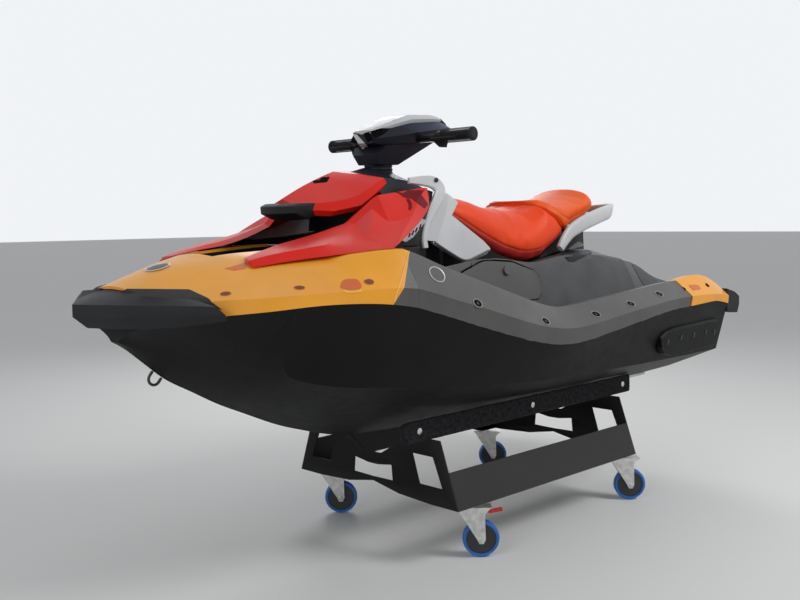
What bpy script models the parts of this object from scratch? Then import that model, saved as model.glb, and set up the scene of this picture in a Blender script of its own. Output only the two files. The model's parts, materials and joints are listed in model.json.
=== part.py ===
"""Personal watercraft on its castered display trolley: one solid for each piece.

Frame: +X towards the bow, +Y to port, +Z up, origin on the floor under the middle.
Metres. The *_SHARES tables give x as shares of LENGTH, y as shares of HALF_BEAM
and z as shares of DEPTH above the keel, unless a table says otherwise.
"""

from math import atan2, cos, pi, radians, sin

import bmesh
import bpy
from mathutils import Matrix, Vector, geometry

# Driving dimensions of the craft
LENGTH = 2.78
HALF_BEAM = 0.59
DEPTH = 1.12
KEEL_Z = 0.38

# Clearances and shell thicknesses
GAP = 0.0005
PANEL_T = 0.008
SILL_W = 0.045
SILL_DRAFT = 0.006
RIM_W = 0.030
RIM_DROP = 0.004
WELL_WALL_T = 0.014

# Colours, roughness and metallic value of each material
PAINTS = {
    "black_shell": ((0.020, 0.020, 0.022), 0.55, 0.0),
    "charcoal_rubber": ((0.045, 0.045, 0.048), 0.62, 0.0),
    "orange_gloss": ((0.86, 0.36, 0.06), 0.28, 0.0),
    "red_gloss": ((0.74, 0.05, 0.03), 0.25, 0.0),
    "grey_satin": ((0.13, 0.125, 0.12), 0.45, 0.0),
    "silver_satin": ((0.48, 0.48, 0.49), 0.35, 0.0),
    "light_grey": ((0.62, 0.63, 0.65), 0.40, 0.0),
    "seat_vinyl": ((0.82, 0.09, 0.03), 0.42, 0.0),
    "navy_gloss": ((0.03, 0.035, 0.07), 0.30, 0.0),
    "white_gloss": ((0.80, 0.80, 0.82), 0.30, 0.0),
    "sheet_steel_black": ((0.018, 0.018, 0.020), 0.42, 0.0),
    "carpet": ((0.035, 0.035, 0.038), 0.95, 0.0),
    "zinc_steel": ((0.62, 0.62, 0.60), 0.35, 1.0),
    "blue_tread": ((0.02, 0.12, 0.45), 0.55, 0.0),
    "red_plastic": ((0.70, 0.02, 0.03), 0.40, 0.0),
    "pump_alloy": ((0.55, 0.56, 0.58), 0.32, 1.0),
    "grip_rubber": ((0.025, 0.025, 0.025), 0.80, 0.0),
}

# The shell's lines at stations along the craft, stern first
BODY_COLUMNS = (
    "x keel_z chine_y chine_z sheer_y sheer_z crease_y crease_z rim_y rim_z tub_z"
).split()
BODY_SHARES = (
    (-0.460, 0.000, 0.797, 0.161, 0.881, 0.337, 0.886, 0.366, 0.797, 0.404, 0.286),
    (-0.417, 0.000, 0.814, 0.163, 0.903, 0.354, 0.915, 0.380, 0.807, 0.427, 0.286),
    (-0.371, 0.000, 0.825, 0.164, 0.927, 0.354, 0.937, 0.386, 0.817, 0.436, 0.286),
    (-0.324, 0.000, 0.836, 0.166, 0.944, 0.352, 0.956, 0.387, 0.827, 0.439, 0.277),
    (-0.270, 0.000, 0.842, 0.168, 0.959, 0.349, 0.971, 0.386, 0.837, 0.434, 0.268),
    (-0.209, 0.000, 0.847, 0.170, 0.971, 0.335, 0.983, 0.375, 0.846, 0.422, 0.259),
    (-0.144, 0.000, 0.847, 0.173, 0.976, 0.317, 0.988, 0.362, 0.849, 0.412, 0.254),
    (-0.090, 0.000, 0.847, 0.176, 0.978, 0.302, 0.990, 0.348, 0.849, 0.403, 0.250),
    (-0.036, 0.000, 0.846, 0.179, 0.978, 0.292, 0.988, 0.339, 0.847, 0.396, 0.250),
    (0.018, 0.001, 0.841, 0.186, 0.971, 0.305, 0.983, 0.353, 0.844, 0.430, 0.250),
    (0.072, 0.004, 0.829, 0.195, 0.959, 0.337, 0.971, 0.388, 0.837, 0.473, 0.254),
    (0.126, 0.011, 0.810, 0.207, 0.941, 0.376, 0.953, 0.429, 0.825, 0.516, 0.268),
    (0.169, 0.021, 0.790, 0.219, 0.922, 0.409, 0.932, 0.458, 0.812, 0.551, 0.286),
    (0.216, 0.054, 0.759, 0.230, 0.898, 0.443, 0.905, 0.493, 0.787, 0.594, 0.304),
    (0.259, 0.089, 0.712, 0.239, 0.871, 0.460, 0.871, 0.499, 0.695, 0.586, 0.330),
    (0.302, 0.137, 0.624, 0.254, 0.831, 0.466, 0.824, 0.497, 0.558, 0.572, 0.357),
    (0.338, 0.177, 0.517, 0.286, 0.786, 0.465, 0.775, 0.494, 0.470, 0.559, 0.384),
    (0.374, 0.227, 0.386, 0.329, 0.722, 0.458, 0.708, 0.491, 0.390, 0.541, 0.406),
    (0.403, 0.266, 0.271, 0.355, 0.590, 0.450, 0.578, 0.486, 0.290, 0.528, 0.415),
    (0.432, 0.327, 0.156, 0.375, 0.435, 0.439, 0.424, 0.482, 0.205, 0.519, 0.420),
    (0.457, 0.375, 0.068, 0.393, 0.290, 0.428, 0.281, 0.480, 0.150, 0.508, 0.421),
)
STEPS_PER_ROW = 2

# The deck's inner lines: tunnel under the seat, its sides and the footwell
DECK_COLUMNS = "x centre_z tunnel_y tunnel_z side_y side_z foot_y foot_z".split()
DECK_SHARES = (
    (-0.460, 0.407, 0.339, 0.407, 0.508, 0.407, 0.678, 0.404),
    (-0.417, 0.420, 0.322, 0.434, 0.444, 0.420, 0.631, 0.398),
    (-0.371, 0.464, 0.288, 0.489, 0.444, 0.469, 0.619, 0.386),
    (-0.324, 0.504, 0.288, 0.525, 0.461, 0.504, 0.614, 0.366),
    (-0.270, 0.518, 0.305, 0.552, 0.480, 0.525, 0.610, 0.344),
    (-0.209, 0.513, 0.322, 0.555, 0.492, 0.536, 0.603, 0.317),
    (-0.144, 0.504, 0.322, 0.522, 0.498, 0.540, 0.597, 0.299),
    (-0.090, 0.496, 0.322, 0.504, 0.502, 0.522, 0.593, 0.291),
    (-0.036, 0.491, 0.322, 0.504, 0.495, 0.540, 0.593, 0.289),
    (0.018, 0.491, 0.322, 0.509, 0.481, 0.546, 0.593, 0.289),
    (0.072, 0.491, 0.339, 0.504, 0.485, 0.531, 0.593, 0.296),
    (0.126, 0.491, 0.373, 0.504, 0.508, 0.522, 0.602, 0.321),
    (0.169, 0.491, 0.407, 0.496, 0.542, 0.518, 0.619, 0.375),
)

# Stations where one panel hands over to the next, as shares of LENGTH
STERN_SHARE = -0.460
CAP_END_SHARE = -0.324
DECK_END_SHARE = 0.169
GUNWALE_END_SHARE = 0.216
BOW_SHARE = 0.457


def interpolate(table, columns, x_share):
    """Cubic Hermite reading of a station table; x stays a share, the rest are shares too."""
    last = len(table) - 2
    i = max(0, min(last, sum(row[0] <= x_share for row in table) - 1))
    left, right = table[i], table[i + 1]
    before = table[max(0, i - 1)]
    after = table[min(len(table) - 1, i + 2)]
    span = right[0] - left[0]
    t = (x_share - left[0]) / span
    found = {"x": x_share}
    for k in range(1, len(columns)):
        slope_left = (right[k] - before[k]) / (right[0] - before[0])
        slope_right = (after[k] - left[k]) / (after[0] - left[0])
        h00 = 2 * t**3 - 3 * t**2 + 1
        h10 = t**3 - 2 * t**2 + t
        h01 = 3 * t**2 - 2 * t**3
        h11 = t**3 - t**2
        found[columns[k]] = (
            h00 * left[k] + h10 * span * slope_left + h01 * right[k] + h11 * span * slope_right
        )
    return found


def metres(shares):
    """Turns a dictionary of shares into metres, by the last letter of each name."""
    scale = {"x": (0.0, LENGTH), "y": (0.0, HALF_BEAM), "z": (KEEL_Z, DEPTH)}
    return {
        name: scale[name[-1]][0] + scale[name[-1]][1] * value for name, value in shares.items()
    }


def body(x_share):
    return metres(interpolate(BODY_SHARES, BODY_COLUMNS, x_share))


def deck_lines(x_share):
    return metres(interpolate(DECK_SHARES, DECK_COLUMNS, x_share))


def tub_y(b):
    """Half width of the hull's inner floor: inside the sill and inside the flared side."""
    side = b["chine_y"] + (b["sheer_y"] - b["chine_y"]) * (b["tub_z"] - b["chine_z"]) / (
        b["sheer_z"] - b["chine_z"]
    )
    return min(b["sheer_y"] - SILL_W - SILL_DRAFT, side - SILL_W)


def spot(x_share, y_share, z_share):
    return Vector((x_share * LENGTH, y_share * HALF_BEAM, KEEL_Z + z_share * DEPTH))


def stations(start_share, end_share):
    """The common stations from one share to another, ends included."""
    rows = [row[0] for row in BODY_SHARES]
    fine = []
    for left, right in zip(rows, rows[1:]):
        fine += [left + (right - left) * k / STEPS_PER_ROW for k in range(STEPS_PER_ROW)]
    fine.append(rows[-1])
    inside = [x for x in fine if start_share < x < end_share]
    return [start_share, *inside, end_share]


def chord(lines, x_share):
    """Reads lines() as the faceted shell has them: straight between the common stations."""
    grid = stations(STERN_SHARE, BOW_SHARE)
    i = max(0, min(len(grid) - 2, sum(g <= x_share for g in grid) - 1))
    t = (x_share - grid[i]) / (grid[i + 1] - grid[i])
    left, right = lines(grid[i]), lines(grid[i + 1])
    return {name: left[name] + (right[name] - left[name]) * t for name in left}


def linear(points, x_share):
    """Straight-line reading of (x, value) points in rising x."""
    for (x0, v0), (x1, v1) in zip(points, points[1:]):
        if x_share <= x1:
            return v0 + (v1 - v0) * max(x_share - x0, 0) / (x1 - x0)
    return points[-1][1]


# Scene and mesh helpers

SWEEP_COUNT = 8


def clear_scene():
    for obj in list(bpy.data.objects):
        bpy.data.objects.remove(obj)


def paint(name):
    if name in bpy.data.materials:
        return bpy.data.materials[name]
    colour, roughness, metallic = PAINTS[name]
    material = bpy.data.materials.new(name)
    material.use_nodes = True
    shader = material.node_tree.nodes["Principled BSDF"]
    shader.inputs["Base Color"].default_value = (*colour, 1.0)
    shader.inputs["Roughness"].default_value = roughness
    shader.inputs["Metallic"].default_value = metallic
    return material


def finish(name, bm, material, origin=(0, 0, 0), smooth=False, parent=None):
    """Makes an object from a bmesh in world coordinates, with its origin at a given point."""
    origin = Vector(origin)
    bmesh.ops.translate(bm, verts=bm.verts, vec=-origin)
    bmesh.ops.recalc_face_normals(bm, faces=bm.faces)
    mesh = bpy.data.meshes.new(name)
    bm.to_mesh(mesh)
    bm.free()
    mesh.materials.append(paint(material))
    if smooth:
        mesh.polygons.foreach_set("use_smooth", [True] * len(mesh.polygons))
    obj = bpy.data.objects.new(name, mesh)
    bpy.context.scene.collection.objects.link(obj)
    obj.location = origin
    if parent is not None:
        obj.parent = parent
        obj.matrix_parent_inverse = Matrix.Translation(parent.location).inverted()
    return obj


def add_rings(bm, rings, closed_path=False, split=False):
    """Skins a list of rings with the same number of points, and caps an open path. With
    split, each four-sided face is cut from its lower to its higher corner, so that two
    neighbouring shells have the same creases on both sides of the craft."""
    loops = [[bm.verts.new(point) for point in ring] for ring in rings]
    pairs = list(zip(loops, loops[1:]))
    if closed_path:
        pairs.append((loops[-1], loops[0]))
    for a, b in pairs:
        for k in range(len(a)):
            n = (k + 1) % len(a)
            if not split:
                bm.faces.new((a[k], a[n], b[n], b[k]))
            elif (a[k].co.z, abs(a[k].co.y)) < (a[n].co.z, abs(a[n].co.y)):
                bm.faces.new((a[k], a[n], b[n]))
                bm.faces.new((a[k], b[n], b[k]))
            else:
                bm.faces.new((a[k], a[n], b[k]))
                bm.faces.new((a[n], b[n], b[k]))
    if not closed_path:
        bm.faces.new(list(reversed(loops[0])))
        bm.faces.new(loops[-1])
    return bm


def loft(name, rings, material, split=True, **options):
    return finish(name, add_rings(bmesh.new(), rings, split=split), material, **options)


def mirrored(half, x):
    """A full ring from a half section that starts and ends on the middle plane."""
    port = [Vector((x, y, z)) for y, z in half]
    starboard = [Vector((x, -y, z)) for y, z in reversed(half) if y > 0]
    return port + starboard


def sided(ring, side):
    return [Vector((p[0], side * p[1], p[2])) for p in ring]


def add_plate(bm, outline, holes, place):
    """A flat plate from an outline and holes in (u, v), where place(u, v, w) gives the point
    and w is 0 on one face and 1 on the other."""
    loops = [list(outline)] + [list(hole) for hole in holes]
    flat = [Vector((u, v, 0)) for loop in loops for u, v in loop]
    triangles = geometry.tessellate_polygon([[Vector((u, v, 0)) for u, v in lp] for lp in loops])
    low = [bm.verts.new(place(p.x, p.y, 0)) for p in flat]
    high = [bm.verts.new(place(p.x, p.y, 1)) for p in flat]
    for a, b, c in triangles:
        bm.faces.new((low[a], low[b], low[c]))
        bm.faces.new((high[c], high[b], high[a]))
    start = 0
    for loop in loops:
        count = len(loop)
        for k in range(count):
            a = start + k
            b = start + (k + 1) % count
            bm.faces.new((low[a], low[b], high[b], high[a]))
        start += count
    return bm


def plate(name, outline, place, material, holes=(), **options):
    return finish(name, add_plate(bmesh.new(), outline, holes, place), material, **options)


def add_box(bm, low, high):
    """An axis-aligned box between two corners."""
    low_y, low_z = low[1], low[2]
    high_y, high_z = high[1], high[2]
    section = ((low_y, low_z), (high_y, low_z), (high_y, high_z), (low_y, high_z))
    ends = [[Vector((x, y, z)) for y, z in section] for x in (low[0], high[0])]
    return add_rings(bm, ends)


def circle(centre, radius, axis_u, axis_v, count, turn=0.0):
    centre, axis_u, axis_v = Vector(centre), Vector(axis_u), Vector(axis_v)
    return [
        centre
        + axis_u * (radius * cos(turn + 2 * pi * k / count))
        + axis_v * (radius * sin(turn + 2 * pi * k / count))
        for k in range(count)
    ]


def add_revolve(bm, profile, centre, axis, axis_u, axis_v, count, closed=False):
    """Turns a profile of (distance along the axis, radius) round the axis. A closed profile
    makes a ring; an open one is capped with flat ends."""
    centre, axis = Vector(centre), Vector(axis)
    rings = [circle(centre + axis * d, r, axis_u, axis_v, count) for d, r in profile]
    return add_rings(bm, rings, closed_path=closed)


def revolve(name, profile, centre, axis, axis_u, axis_v, count, material, closed=False, **options):
    bm = add_revolve(bmesh.new(), profile, centre, axis, axis_u, axis_v, count, closed)
    return finish(name, bm, material, **options)


def add_sweep(bm, path, width_dir, half_width, half_thick, count=SWEEP_COUNT):
    """A rounded strap along a path: half_width along width_dir, half_thick across it."""
    rings = []
    path = [Vector(p) for p in path]
    for k, point in enumerate(path):
        along = (path[min(k + 1, len(path) - 1)] - path[max(k - 1, 0)]).normalized()
        wide = Vector(width_dir) if not callable(width_dir) else Vector(width_dir(k))
        wide = (wide - along * wide.dot(along)).normalized()
        thick = along.cross(wide).normalized()
        ring = []
        for n in range(count):
            angle = pi / count + 2 * pi * n / count
            shift = wide * (half_width * cos(angle)) + thick * (half_thick * sin(angle))
            ring.append(point + shift)
        rings.append(ring)
    return add_rings(bm, rings)


def cut(target, cutter):
    """Subtracts one object from another and keeps the cutter out of the part."""
    modifier = target.modifiers.new("cut_" + cutter.name, "BOOLEAN")
    modifier.operation = "DIFFERENCE"
    modifier.object = cutter
    cutter.hide_render = True
    cutter.display_type = "WIRE"


def join_to(target, other):
    """Unites another object with the target and keeps that object out of the part."""
    modifier = target.modifiers.new("join_" + other.name, "BOOLEAN")
    modifier.operation = "UNION"
    modifier.object = other
    other.hide_render = True
    other.display_type = "WIRE"


def pivot(name, location):
    """An empty on a joint's axis, the parent of a moving body's pieces."""
    empty = bpy.data.objects.new(name, None)
    empty.location = location
    bpy.context.scene.collection.objects.link(empty)
    return empty


# Hull

PUMP_X_SHARE = -0.396
PUMP_Z_SHARE = 0.088
POCKET_HALF_W = 0.105
POCKET_TOP = 0.110
STRAKE_Y_SHARE = 0.52
STRAKE_DROP = 0.010
INTAKE_FRONT_SHARE = -0.165
INTAKE_BACK_SHARE = -0.270
INTAKE_HALF_W = 0.070
INTAKE_DEPTH = 0.130
CUT_OVERRUN = 0.050


def hull_section(x_share):
    b = body(x_share)
    strake_y = STRAKE_Y_SHARE * b["chine_y"]
    strake_z = b["keel_z"] + STRAKE_Y_SHARE * (b["chine_z"] - b["keel_z"]) - STRAKE_DROP
    sill_y = b["sheer_y"] - SILL_W
    half = [
        (0, b["keel_z"]),
        (strake_y, max(strake_z, b["keel_z"])),
        (b["chine_y"], b["chine_z"]),
        (b["sheer_y"], b["sheer_z"]),
        (sill_y, b["sheer_z"]),
        (tub_y(b), b["tub_z"]),
        (0, b["tub_z"]),
    ]
    return mirrored(half, b["x"])


def build_hull():
    rings = [hull_section(s) for s in stations(STERN_SHARE, BOW_SHARE)]
    hull = loft("hull", rings, "black_shell")
    pump = spot(PUMP_X_SHARE, 0, PUMP_Z_SHARE)
    bm = add_box(
        bmesh.new(),
        (STERN_SHARE * LENGTH - CUT_OVERRUN, -POCKET_HALF_W, KEEL_Z - CUT_OVERRUN),
        (pump.x, POCKET_HALF_W, pump.z + POCKET_TOP),
    )
    cut(hull, finish("cutter_pocket", bm, "black_shell"))
    bm = add_box(
        bmesh.new(),
        (INTAKE_BACK_SHARE * LENGTH, -INTAKE_HALF_W, KEEL_Z - CUT_OVERRUN),
        (INTAKE_FRONT_SHARE * LENGTH, INTAKE_HALF_W, KEEL_Z + INTAKE_DEPTH),
    )
    cut(hull, finish("cutter_intake", bm, "black_shell"))


def bottom_z(x_share, y):
    """Height of the hull's bottom at a distance from the middle plane."""
    b = chord(body, x_share)
    strake_y = STRAKE_Y_SHARE * b["chine_y"]
    strake_z = b["keel_z"] + STRAKE_Y_SHARE * (b["chine_z"] - b["keel_z"]) - STRAKE_DROP
    if y <= strake_y:
        return b["keel_z"] + (strake_z - b["keel_z"]) * y / strake_y
    return strake_z + (b["chine_z"] - strake_z) * (y - strake_y) / (b["chine_y"] - strake_y)


def side_y(x_share, z):
    """Distance of the hull's side from the middle plane at a height."""
    b = chord(body, x_share)
    return b["chine_y"] + (b["sheer_y"] - b["chine_y"]) * (z - b["chine_z"]) / (
        b["sheer_z"] - b["chine_z"]
    )


# Deck and gunwales

DECK_EDGE_T = 0.010
FLOOR_INSET = 0.030


def deck_section(x_share):
    b = body(x_share)
    d = deck_lines(x_share)
    rim_y = b["rim_y"] - RIM_W - GAP
    rim_z = b["rim_z"] - RIM_DROP
    sill_y = b["sheer_y"] - SILL_W - GAP
    floor_y = min(sill_y - FLOOR_INSET, rim_y - DECK_EDGE_T)
    half = [
        (0, d["centre_z"]),
        (d["tunnel_y"], d["tunnel_z"]),
        (d["side_y"], d["side_z"]),
        (d["foot_y"], d["foot_z"]),
        (floor_y, min(d["foot_z"], rim_z)),
        (rim_y - DECK_EDGE_T, rim_z),
        (rim_y, rim_z),
        (sill_y, b["sheer_z"] + GAP),
        (tub_y(b) - GAP, b["tub_z"] + GAP),
        (0, b["tub_z"] + GAP),
    ]
    return mirrored(half, b["x"])


def build_deck():
    rings = [deck_section(s) for s in stations(STERN_SHARE, DECK_END_SHARE)]
    loft("deck", rings, "grey_satin")


def gunwale_section(x_share, proud=0.0, lift=0.0):
    b = body(x_share)
    return [
        Vector((b["x"], b["sheer_y"] + proud, b["sheer_z"] + GAP)),
        Vector((b["x"], b["crease_y"] + proud, b["crease_z"])),
        Vector((b["x"], b["rim_y"] + proud, b["rim_z"] + lift)),
        Vector((b["x"], b["rim_y"] - RIM_W, b["rim_z"] - RIM_DROP + lift)),
        Vector((b["x"], b["rim_y"] - RIM_W, b["rim_z"] - RIM_DROP)),
        Vector((b["x"], b["sheer_y"] - SILL_W, b["sheer_z"] + GAP)),
    ]


CAP_PROUD = 0.004
CAP_LIFT = 0.022
CAP_LEAST_LIFT_SHARE = 0.1
GUNWALE_LIFT = 0.0010


def build_gunwales():
    for side, word in ((1, "port"), (-1, "starboard")):
        shares = stations(CAP_END_SHARE, GUNWALE_END_SHARE)
        shares[0] += GAP / LENGTH
        rings = [sided(gunwale_section(s, lift=GUNWALE_LIFT), side) for s in shares]
        loft("gunwale_" + word, rings, "grey_satin")
        shares = stations(STERN_SHARE, CAP_END_SHARE)
        span = CAP_END_SHARE - STERN_SHARE
        rings = []
        for s in shares:
            hump = max(sin(pi * (s - STERN_SHARE) / span), CAP_LEAST_LIFT_SHARE)
            rings.append(sided(gunwale_section(s, CAP_PROUD, CAP_LIFT * hump), side))
        loft("corner_cap_" + word, rings, "orange_gloss")


# Nose panel, front deck and bumper

NOSE_COLUMNS = "x centre_z".split()
NOSE_SHARES = (
    (0.216, 0.604),
    (0.302, 0.598),
    (0.338, 0.595),
    (0.360, 0.590),
    (0.406, 0.563),
    (0.432, 0.541),
    (0.457, 0.516),
)
NOSE_MID_SHARE = 0.55
NOSE_MID_DROP_SHARE = 0.30
WELL_FRONT_SHARE = 0.360
WELL_FRONT_HALF_W = 0.090
WELL_BACK_HALF_W = 0.215
WELL_FLOOR_DROP = 0.100
PANEL_CLEAR = 0.0010


def nose_lines(x_share):
    b = body(x_share)
    centre = metres(interpolate(NOSE_SHARES, NOSE_COLUMNS, max(x_share, NOSE_SHARES[0][0])))
    top = centre["centre_z"]
    return b, [
        (0, top),
        (NOSE_MID_SHARE * b["rim_y"], top - NOSE_MID_DROP_SHARE * (top - b["rim_z"])),
        (b["rim_y"], b["rim_z"]),
        (b["crease_y"], b["crease_z"]),
    ]


def nose_section(x_share):
    b, outer = nose_lines(x_share)
    inner = [
        (b["sheer_y"] - SILL_W, b["sheer_z"] + GAP),
        (b["rim_y"] - RIM_W, b["rim_z"] - PANEL_T),
        (outer[1][0], outer[1][1] - PANEL_T),
        (0, outer[0][1] - PANEL_T),
    ]
    return mirrored([*outer, (b["sheer_y"], b["sheer_z"] + GAP), *inner], b["x"])


def front_deck_section(x_share):
    b, outer = nose_lines(x_share)
    sill_y = b["sheer_y"] - SILL_W - GAP
    half = [
        (0, outer[0][1] - PANEL_T - PANEL_CLEAR),
        (outer[1][0], outer[1][1] - PANEL_T - PANEL_CLEAR),
        (b["rim_y"] - RIM_W - PANEL_CLEAR, b["rim_z"] - PANEL_T - PANEL_CLEAR),
        (sill_y, b["sheer_z"] + GAP),
        (tub_y(b) - GAP, b["tub_z"] + GAP),
        (0, b["tub_z"] + GAP),
    ]
    return mirrored(half, b["x"])


def well_cutter(name, wall, floor_z):
    """The front locker's opening, made smaller all round by a wall's thickness."""
    back_x = DECK_END_SHARE * LENGTH - CUT_OVERRUN
    front_x = WELL_FRONT_SHARE * LENGTH - wall
    back_half, front_half = WELL_BACK_HALF_W - wall, WELL_FRONT_HALF_W - wall
    top_z = KEEL_Z + DEPTH
    outline = [
        (back_x, -back_half),
        (back_x, back_half),
        (front_x, front_half),
        (front_x, -front_half),
    ]

    def place(u, v, w):
        return Vector((u, v, floor_z + (top_z - floor_z) * w))

    return plate(name, outline, place, "red_gloss")


def build_nose():
    start = GUNWALE_END_SHARE + GAP / LENGTH
    rings = [nose_section(s) for s in stations(start, BOW_SHARE)]
    nose = loft("nose_panel", rings, "orange_gloss")
    rim_z = body(WELL_FRONT_SHARE)["rim_z"]
    cut(nose, well_cutter("cutter_nose", 0, rim_z - CUT_OVERRUN))
    start = DECK_END_SHARE + GAP / LENGTH
    rings = [front_deck_section(s) for s in stations(start, BOW_SHARE)]
    front = loft("front_deck", rings, "black_shell")
    cut(front, well_cutter("cutter_well", WELL_WALL_T, rim_z - WELL_FLOOR_DROP))


# The bumper: outer edge and inner edge in plan from the middle round to the side
BUMPER_COLUMNS = "x out_y in_x in_y low_z edge_z top_z".split()
BUMPER_SHARES = (
    (0.500, 0.000, 0.4570, 0.000, 0.4170, 0.477, 0.506),
    (0.482, 0.150, 0.4570, 0.110, 0.4170, 0.477, 0.505),
    (0.466, 0.290, 0.4570, 0.210, 0.4190, 0.477, 0.502),
    (0.450, 0.430, 0.4570, 0.300, 0.4230, 0.477, 0.498),
    (0.434, 0.540, 0.4380, 0.412, 0.4290, 0.477, 0.492),
    (0.418, 0.635, 0.4180, 0.530, 0.4380, 0.475, 0.486),
    (0.404, 0.690, 0.4040, 0.630, 0.4480, 0.468, 0.474),
)
BUMPER_UNDERCUT_SHARE = 0.35


def build_bumper():
    """The rubber nose: a band round the bow whose inner face stops on the shell's end."""
    rings = []
    for side in (-1, 1):
        rows = reversed(BUMPER_SHARES) if side < 0 else BUMPER_SHARES[1:]
        for row in rows:
            r = metres(dict(zip(BUMPER_COLUMNS, row)))
            out_x, out_y = r["x"], side * r["out_y"]
            in_x, in_y = r["in_x"] + GAP, side * (r["in_y"] + 2 * GAP)
            low_x = out_x + (in_x - out_x) * BUMPER_UNDERCUT_SHARE
            low_y = out_y + (in_y - out_y) * BUMPER_UNDERCUT_SHARE
            mid_z = (r["low_z"] + r["edge_z"]) / 2
            rings.append(
                [
                    Vector((in_x, in_y, r["low_z"])),
                    Vector((low_x, low_y, r["low_z"])),
                    Vector((out_x, out_y, mid_z)),
                    Vector((out_x, out_y, r["edge_z"])),
                    Vector((in_x, in_y, r["top_z"])),
                ]
            )
    loft("bow_bumper", rings, "charcoal_rubber", split=False)


# Fairings, hood, cowl and shoulders

FAIRING_COLUMNS = "x crease_x crease_y crease_z top_x top_y top_z".split()
FAIRING_SHARES = (
    (0.223, 0.151, 0.560, 0.679, 0.098, 0.415, 0.763),
    (0.237, 0.190, 0.610, 0.632, 0.172, 0.407, 0.741),
    (0.259, 0.240, 0.610, 0.619, 0.212, 0.362, 0.664),
    (0.288, 0.277, 0.555, 0.609, 0.258, 0.310, 0.630),
    (0.320, 0.311, 0.472, 0.594, 0.293, 0.290, 0.611),
    (0.340, 0.335, 0.425, 0.584, 0.320, 0.322, 0.599),
    (0.352, 0.350, 0.400, 0.573, 0.347, 0.375, 0.577),
)
FAIRING_TOP_W = 0.030
FAIRING_TOP_DROP = 0.012
FAIRING_FOOT_W = 0.035
FAIRING_INSET = 0.003
FAIRING_CLEAR = 0.006


def nose_top_values(x_share):
    """The nose panel's top line as numbered y and z values, which chord() can read."""
    _, points = nose_lines(x_share)
    return dict(enumerate(value for point in points for value in point))


def nose_height(x_share, y):
    """Height of the nose panel's top at a distance from the middle plane."""
    values = list(chord(nose_top_values, x_share).values())
    return linear(list(zip(values[::2], values[1::2])), y)


def fairing_ring(x_share, side):
    r = metres(interpolate(FAIRING_SHARES, FAIRING_COLUMNS, x_share))
    b, _ = nose_lines(x_share)
    foot_y = b["rim_y"] - FAIRING_INSET
    inner_y = b["rim_y"] - FAIRING_FOOT_W
    top = Vector((r["top_x"], r["top_y"], r["top_z"]))
    inner_top = top - Vector((0, FAIRING_TOP_W, FAIRING_TOP_DROP))
    least = nose_height(max(top.x / LENGTH, NOSE_SHARES[0][0]), inner_top.y) + FAIRING_CLEAR
    inner_top.z = max(inner_top.z, least)
    ring = [
        Vector((b["x"], foot_y, nose_height(x_share, foot_y) + 2 * GAP)),
        Vector((r["crease_x"], r["crease_y"], r["crease_z"])),
        top,
        inner_top,
        Vector((b["x"], inner_y, nose_height(x_share, inner_y) + FAIRING_CLEAR)),
    ]
    return sided(ring, side)


def build_fairings():
    start, end = FAIRING_SHARES[0][0], FAIRING_SHARES[-1][0]
    for side, word in ((1, "port"), (-1, "starboard")):
        rings = [fairing_ring(s, side) for s in stations(start, end)]
        loft("fairing_" + word, rings, "red_gloss")


# The hood over the front locker, hinged at its rear edge, and its latch

HOOD_COLUMNS = "x top_z crease_y crease_z edge_y edge_z".split()
HOOD_SHARES = (
    (0.146, 0.817, 0.318, 0.790, 0.340, 0.775),
    (0.165, 0.815, 0.312, 0.765, 0.340, 0.742),
    (0.183, 0.800, 0.300, 0.736, 0.322, 0.711),
    (0.212, 0.771, 0.237, 0.720, 0.258, 0.696),
    (0.228, 0.752, 0.160, 0.719, 0.178, 0.699),
    (0.243, 0.733, 0.090, 0.716, 0.105, 0.702),
)
HOOD_T = 0.016
HOOD_HINGE_SHARES = (0.1455, 0.0, 0.810)
HOOD_PIN_HALF_L = 0.025
LATCH_L = 0.060
LATCH_PROUD = 0.022
LATCH_HALF_W = 0.085
LATCH_H = 0.022


def build_hood():
    hinge = pivot("hood_hinge", spot(*HOOD_HINGE_SHARES))
    rings = []
    for row in HOOD_SHARES:
        r = metres(dict(zip(HOOD_COLUMNS, row)))
        half = [
            (0, r["top_z"]),
            (r["crease_y"], r["crease_z"]),
            (r["edge_y"], r["edge_z"]),
            (r["edge_y"] - HOOD_T, r["edge_z"] - HOOD_T),
            (0, min(r["edge_z"], r["crease_z"]) - HOOD_T),
        ]
        rings.append(mirrored(half, r["x"]))
    hood = loft("hood", rings, "red_gloss", origin=hinge.location, parent=hinge)
    radius = hinge.location.x - COWL_SHARES[-1][0] * LENGTH - GAP
    profile = ((-HOOD_PIN_HALF_L, radius), (HOOD_PIN_HALF_L, radius))
    axes = ((0, 1, 0), (0, 0, 1), (1, 0, 0))
    bm = add_revolve(bmesh.new(), profile, hinge.location, *axes, SMALL_COUNT)
    join_to(hood, finish("join_barrel", bm, "red_gloss"))
    tip = metres(dict(zip(HOOD_COLUMNS, HOOD_SHARES[-1])))
    high_z = KEEL_Z + min(row[-1] for row in HOOD_SHARES[-2:]) * DEPTH - HOOD_T - GAP
    bm = add_box(
        bmesh.new(),
        (tip["x"] + LATCH_PROUD - LATCH_L, -LATCH_HALF_W, high_z - LATCH_H),
        (tip["x"] + LATCH_PROUD, LATCH_HALF_W, high_z),
    )
    finish("hood_latch", bm, "charcoal_rubber", origin=hinge.location, parent=hinge)


# Cowl under the steering head, shoulder strips and knee panels

COWL_COLUMNS = "x top_z edge_y edge_z side_y low_y".split()
COWL_SHARES = (
    (0.046, 0.742, 0.230, 0.728, 0.330, 0.345),
    (0.062, 0.800, 0.235, 0.765, 0.336, 0.352),
    (0.085, 0.828, 0.240, 0.785, 0.338, 0.354),
    (0.110, 0.832, 0.240, 0.790, 0.338, 0.354),
    (0.144, 0.812, 0.220, 0.796, 0.338, 0.354),
)
COWL_SIDE_Z_SHARE = 0.700


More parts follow.
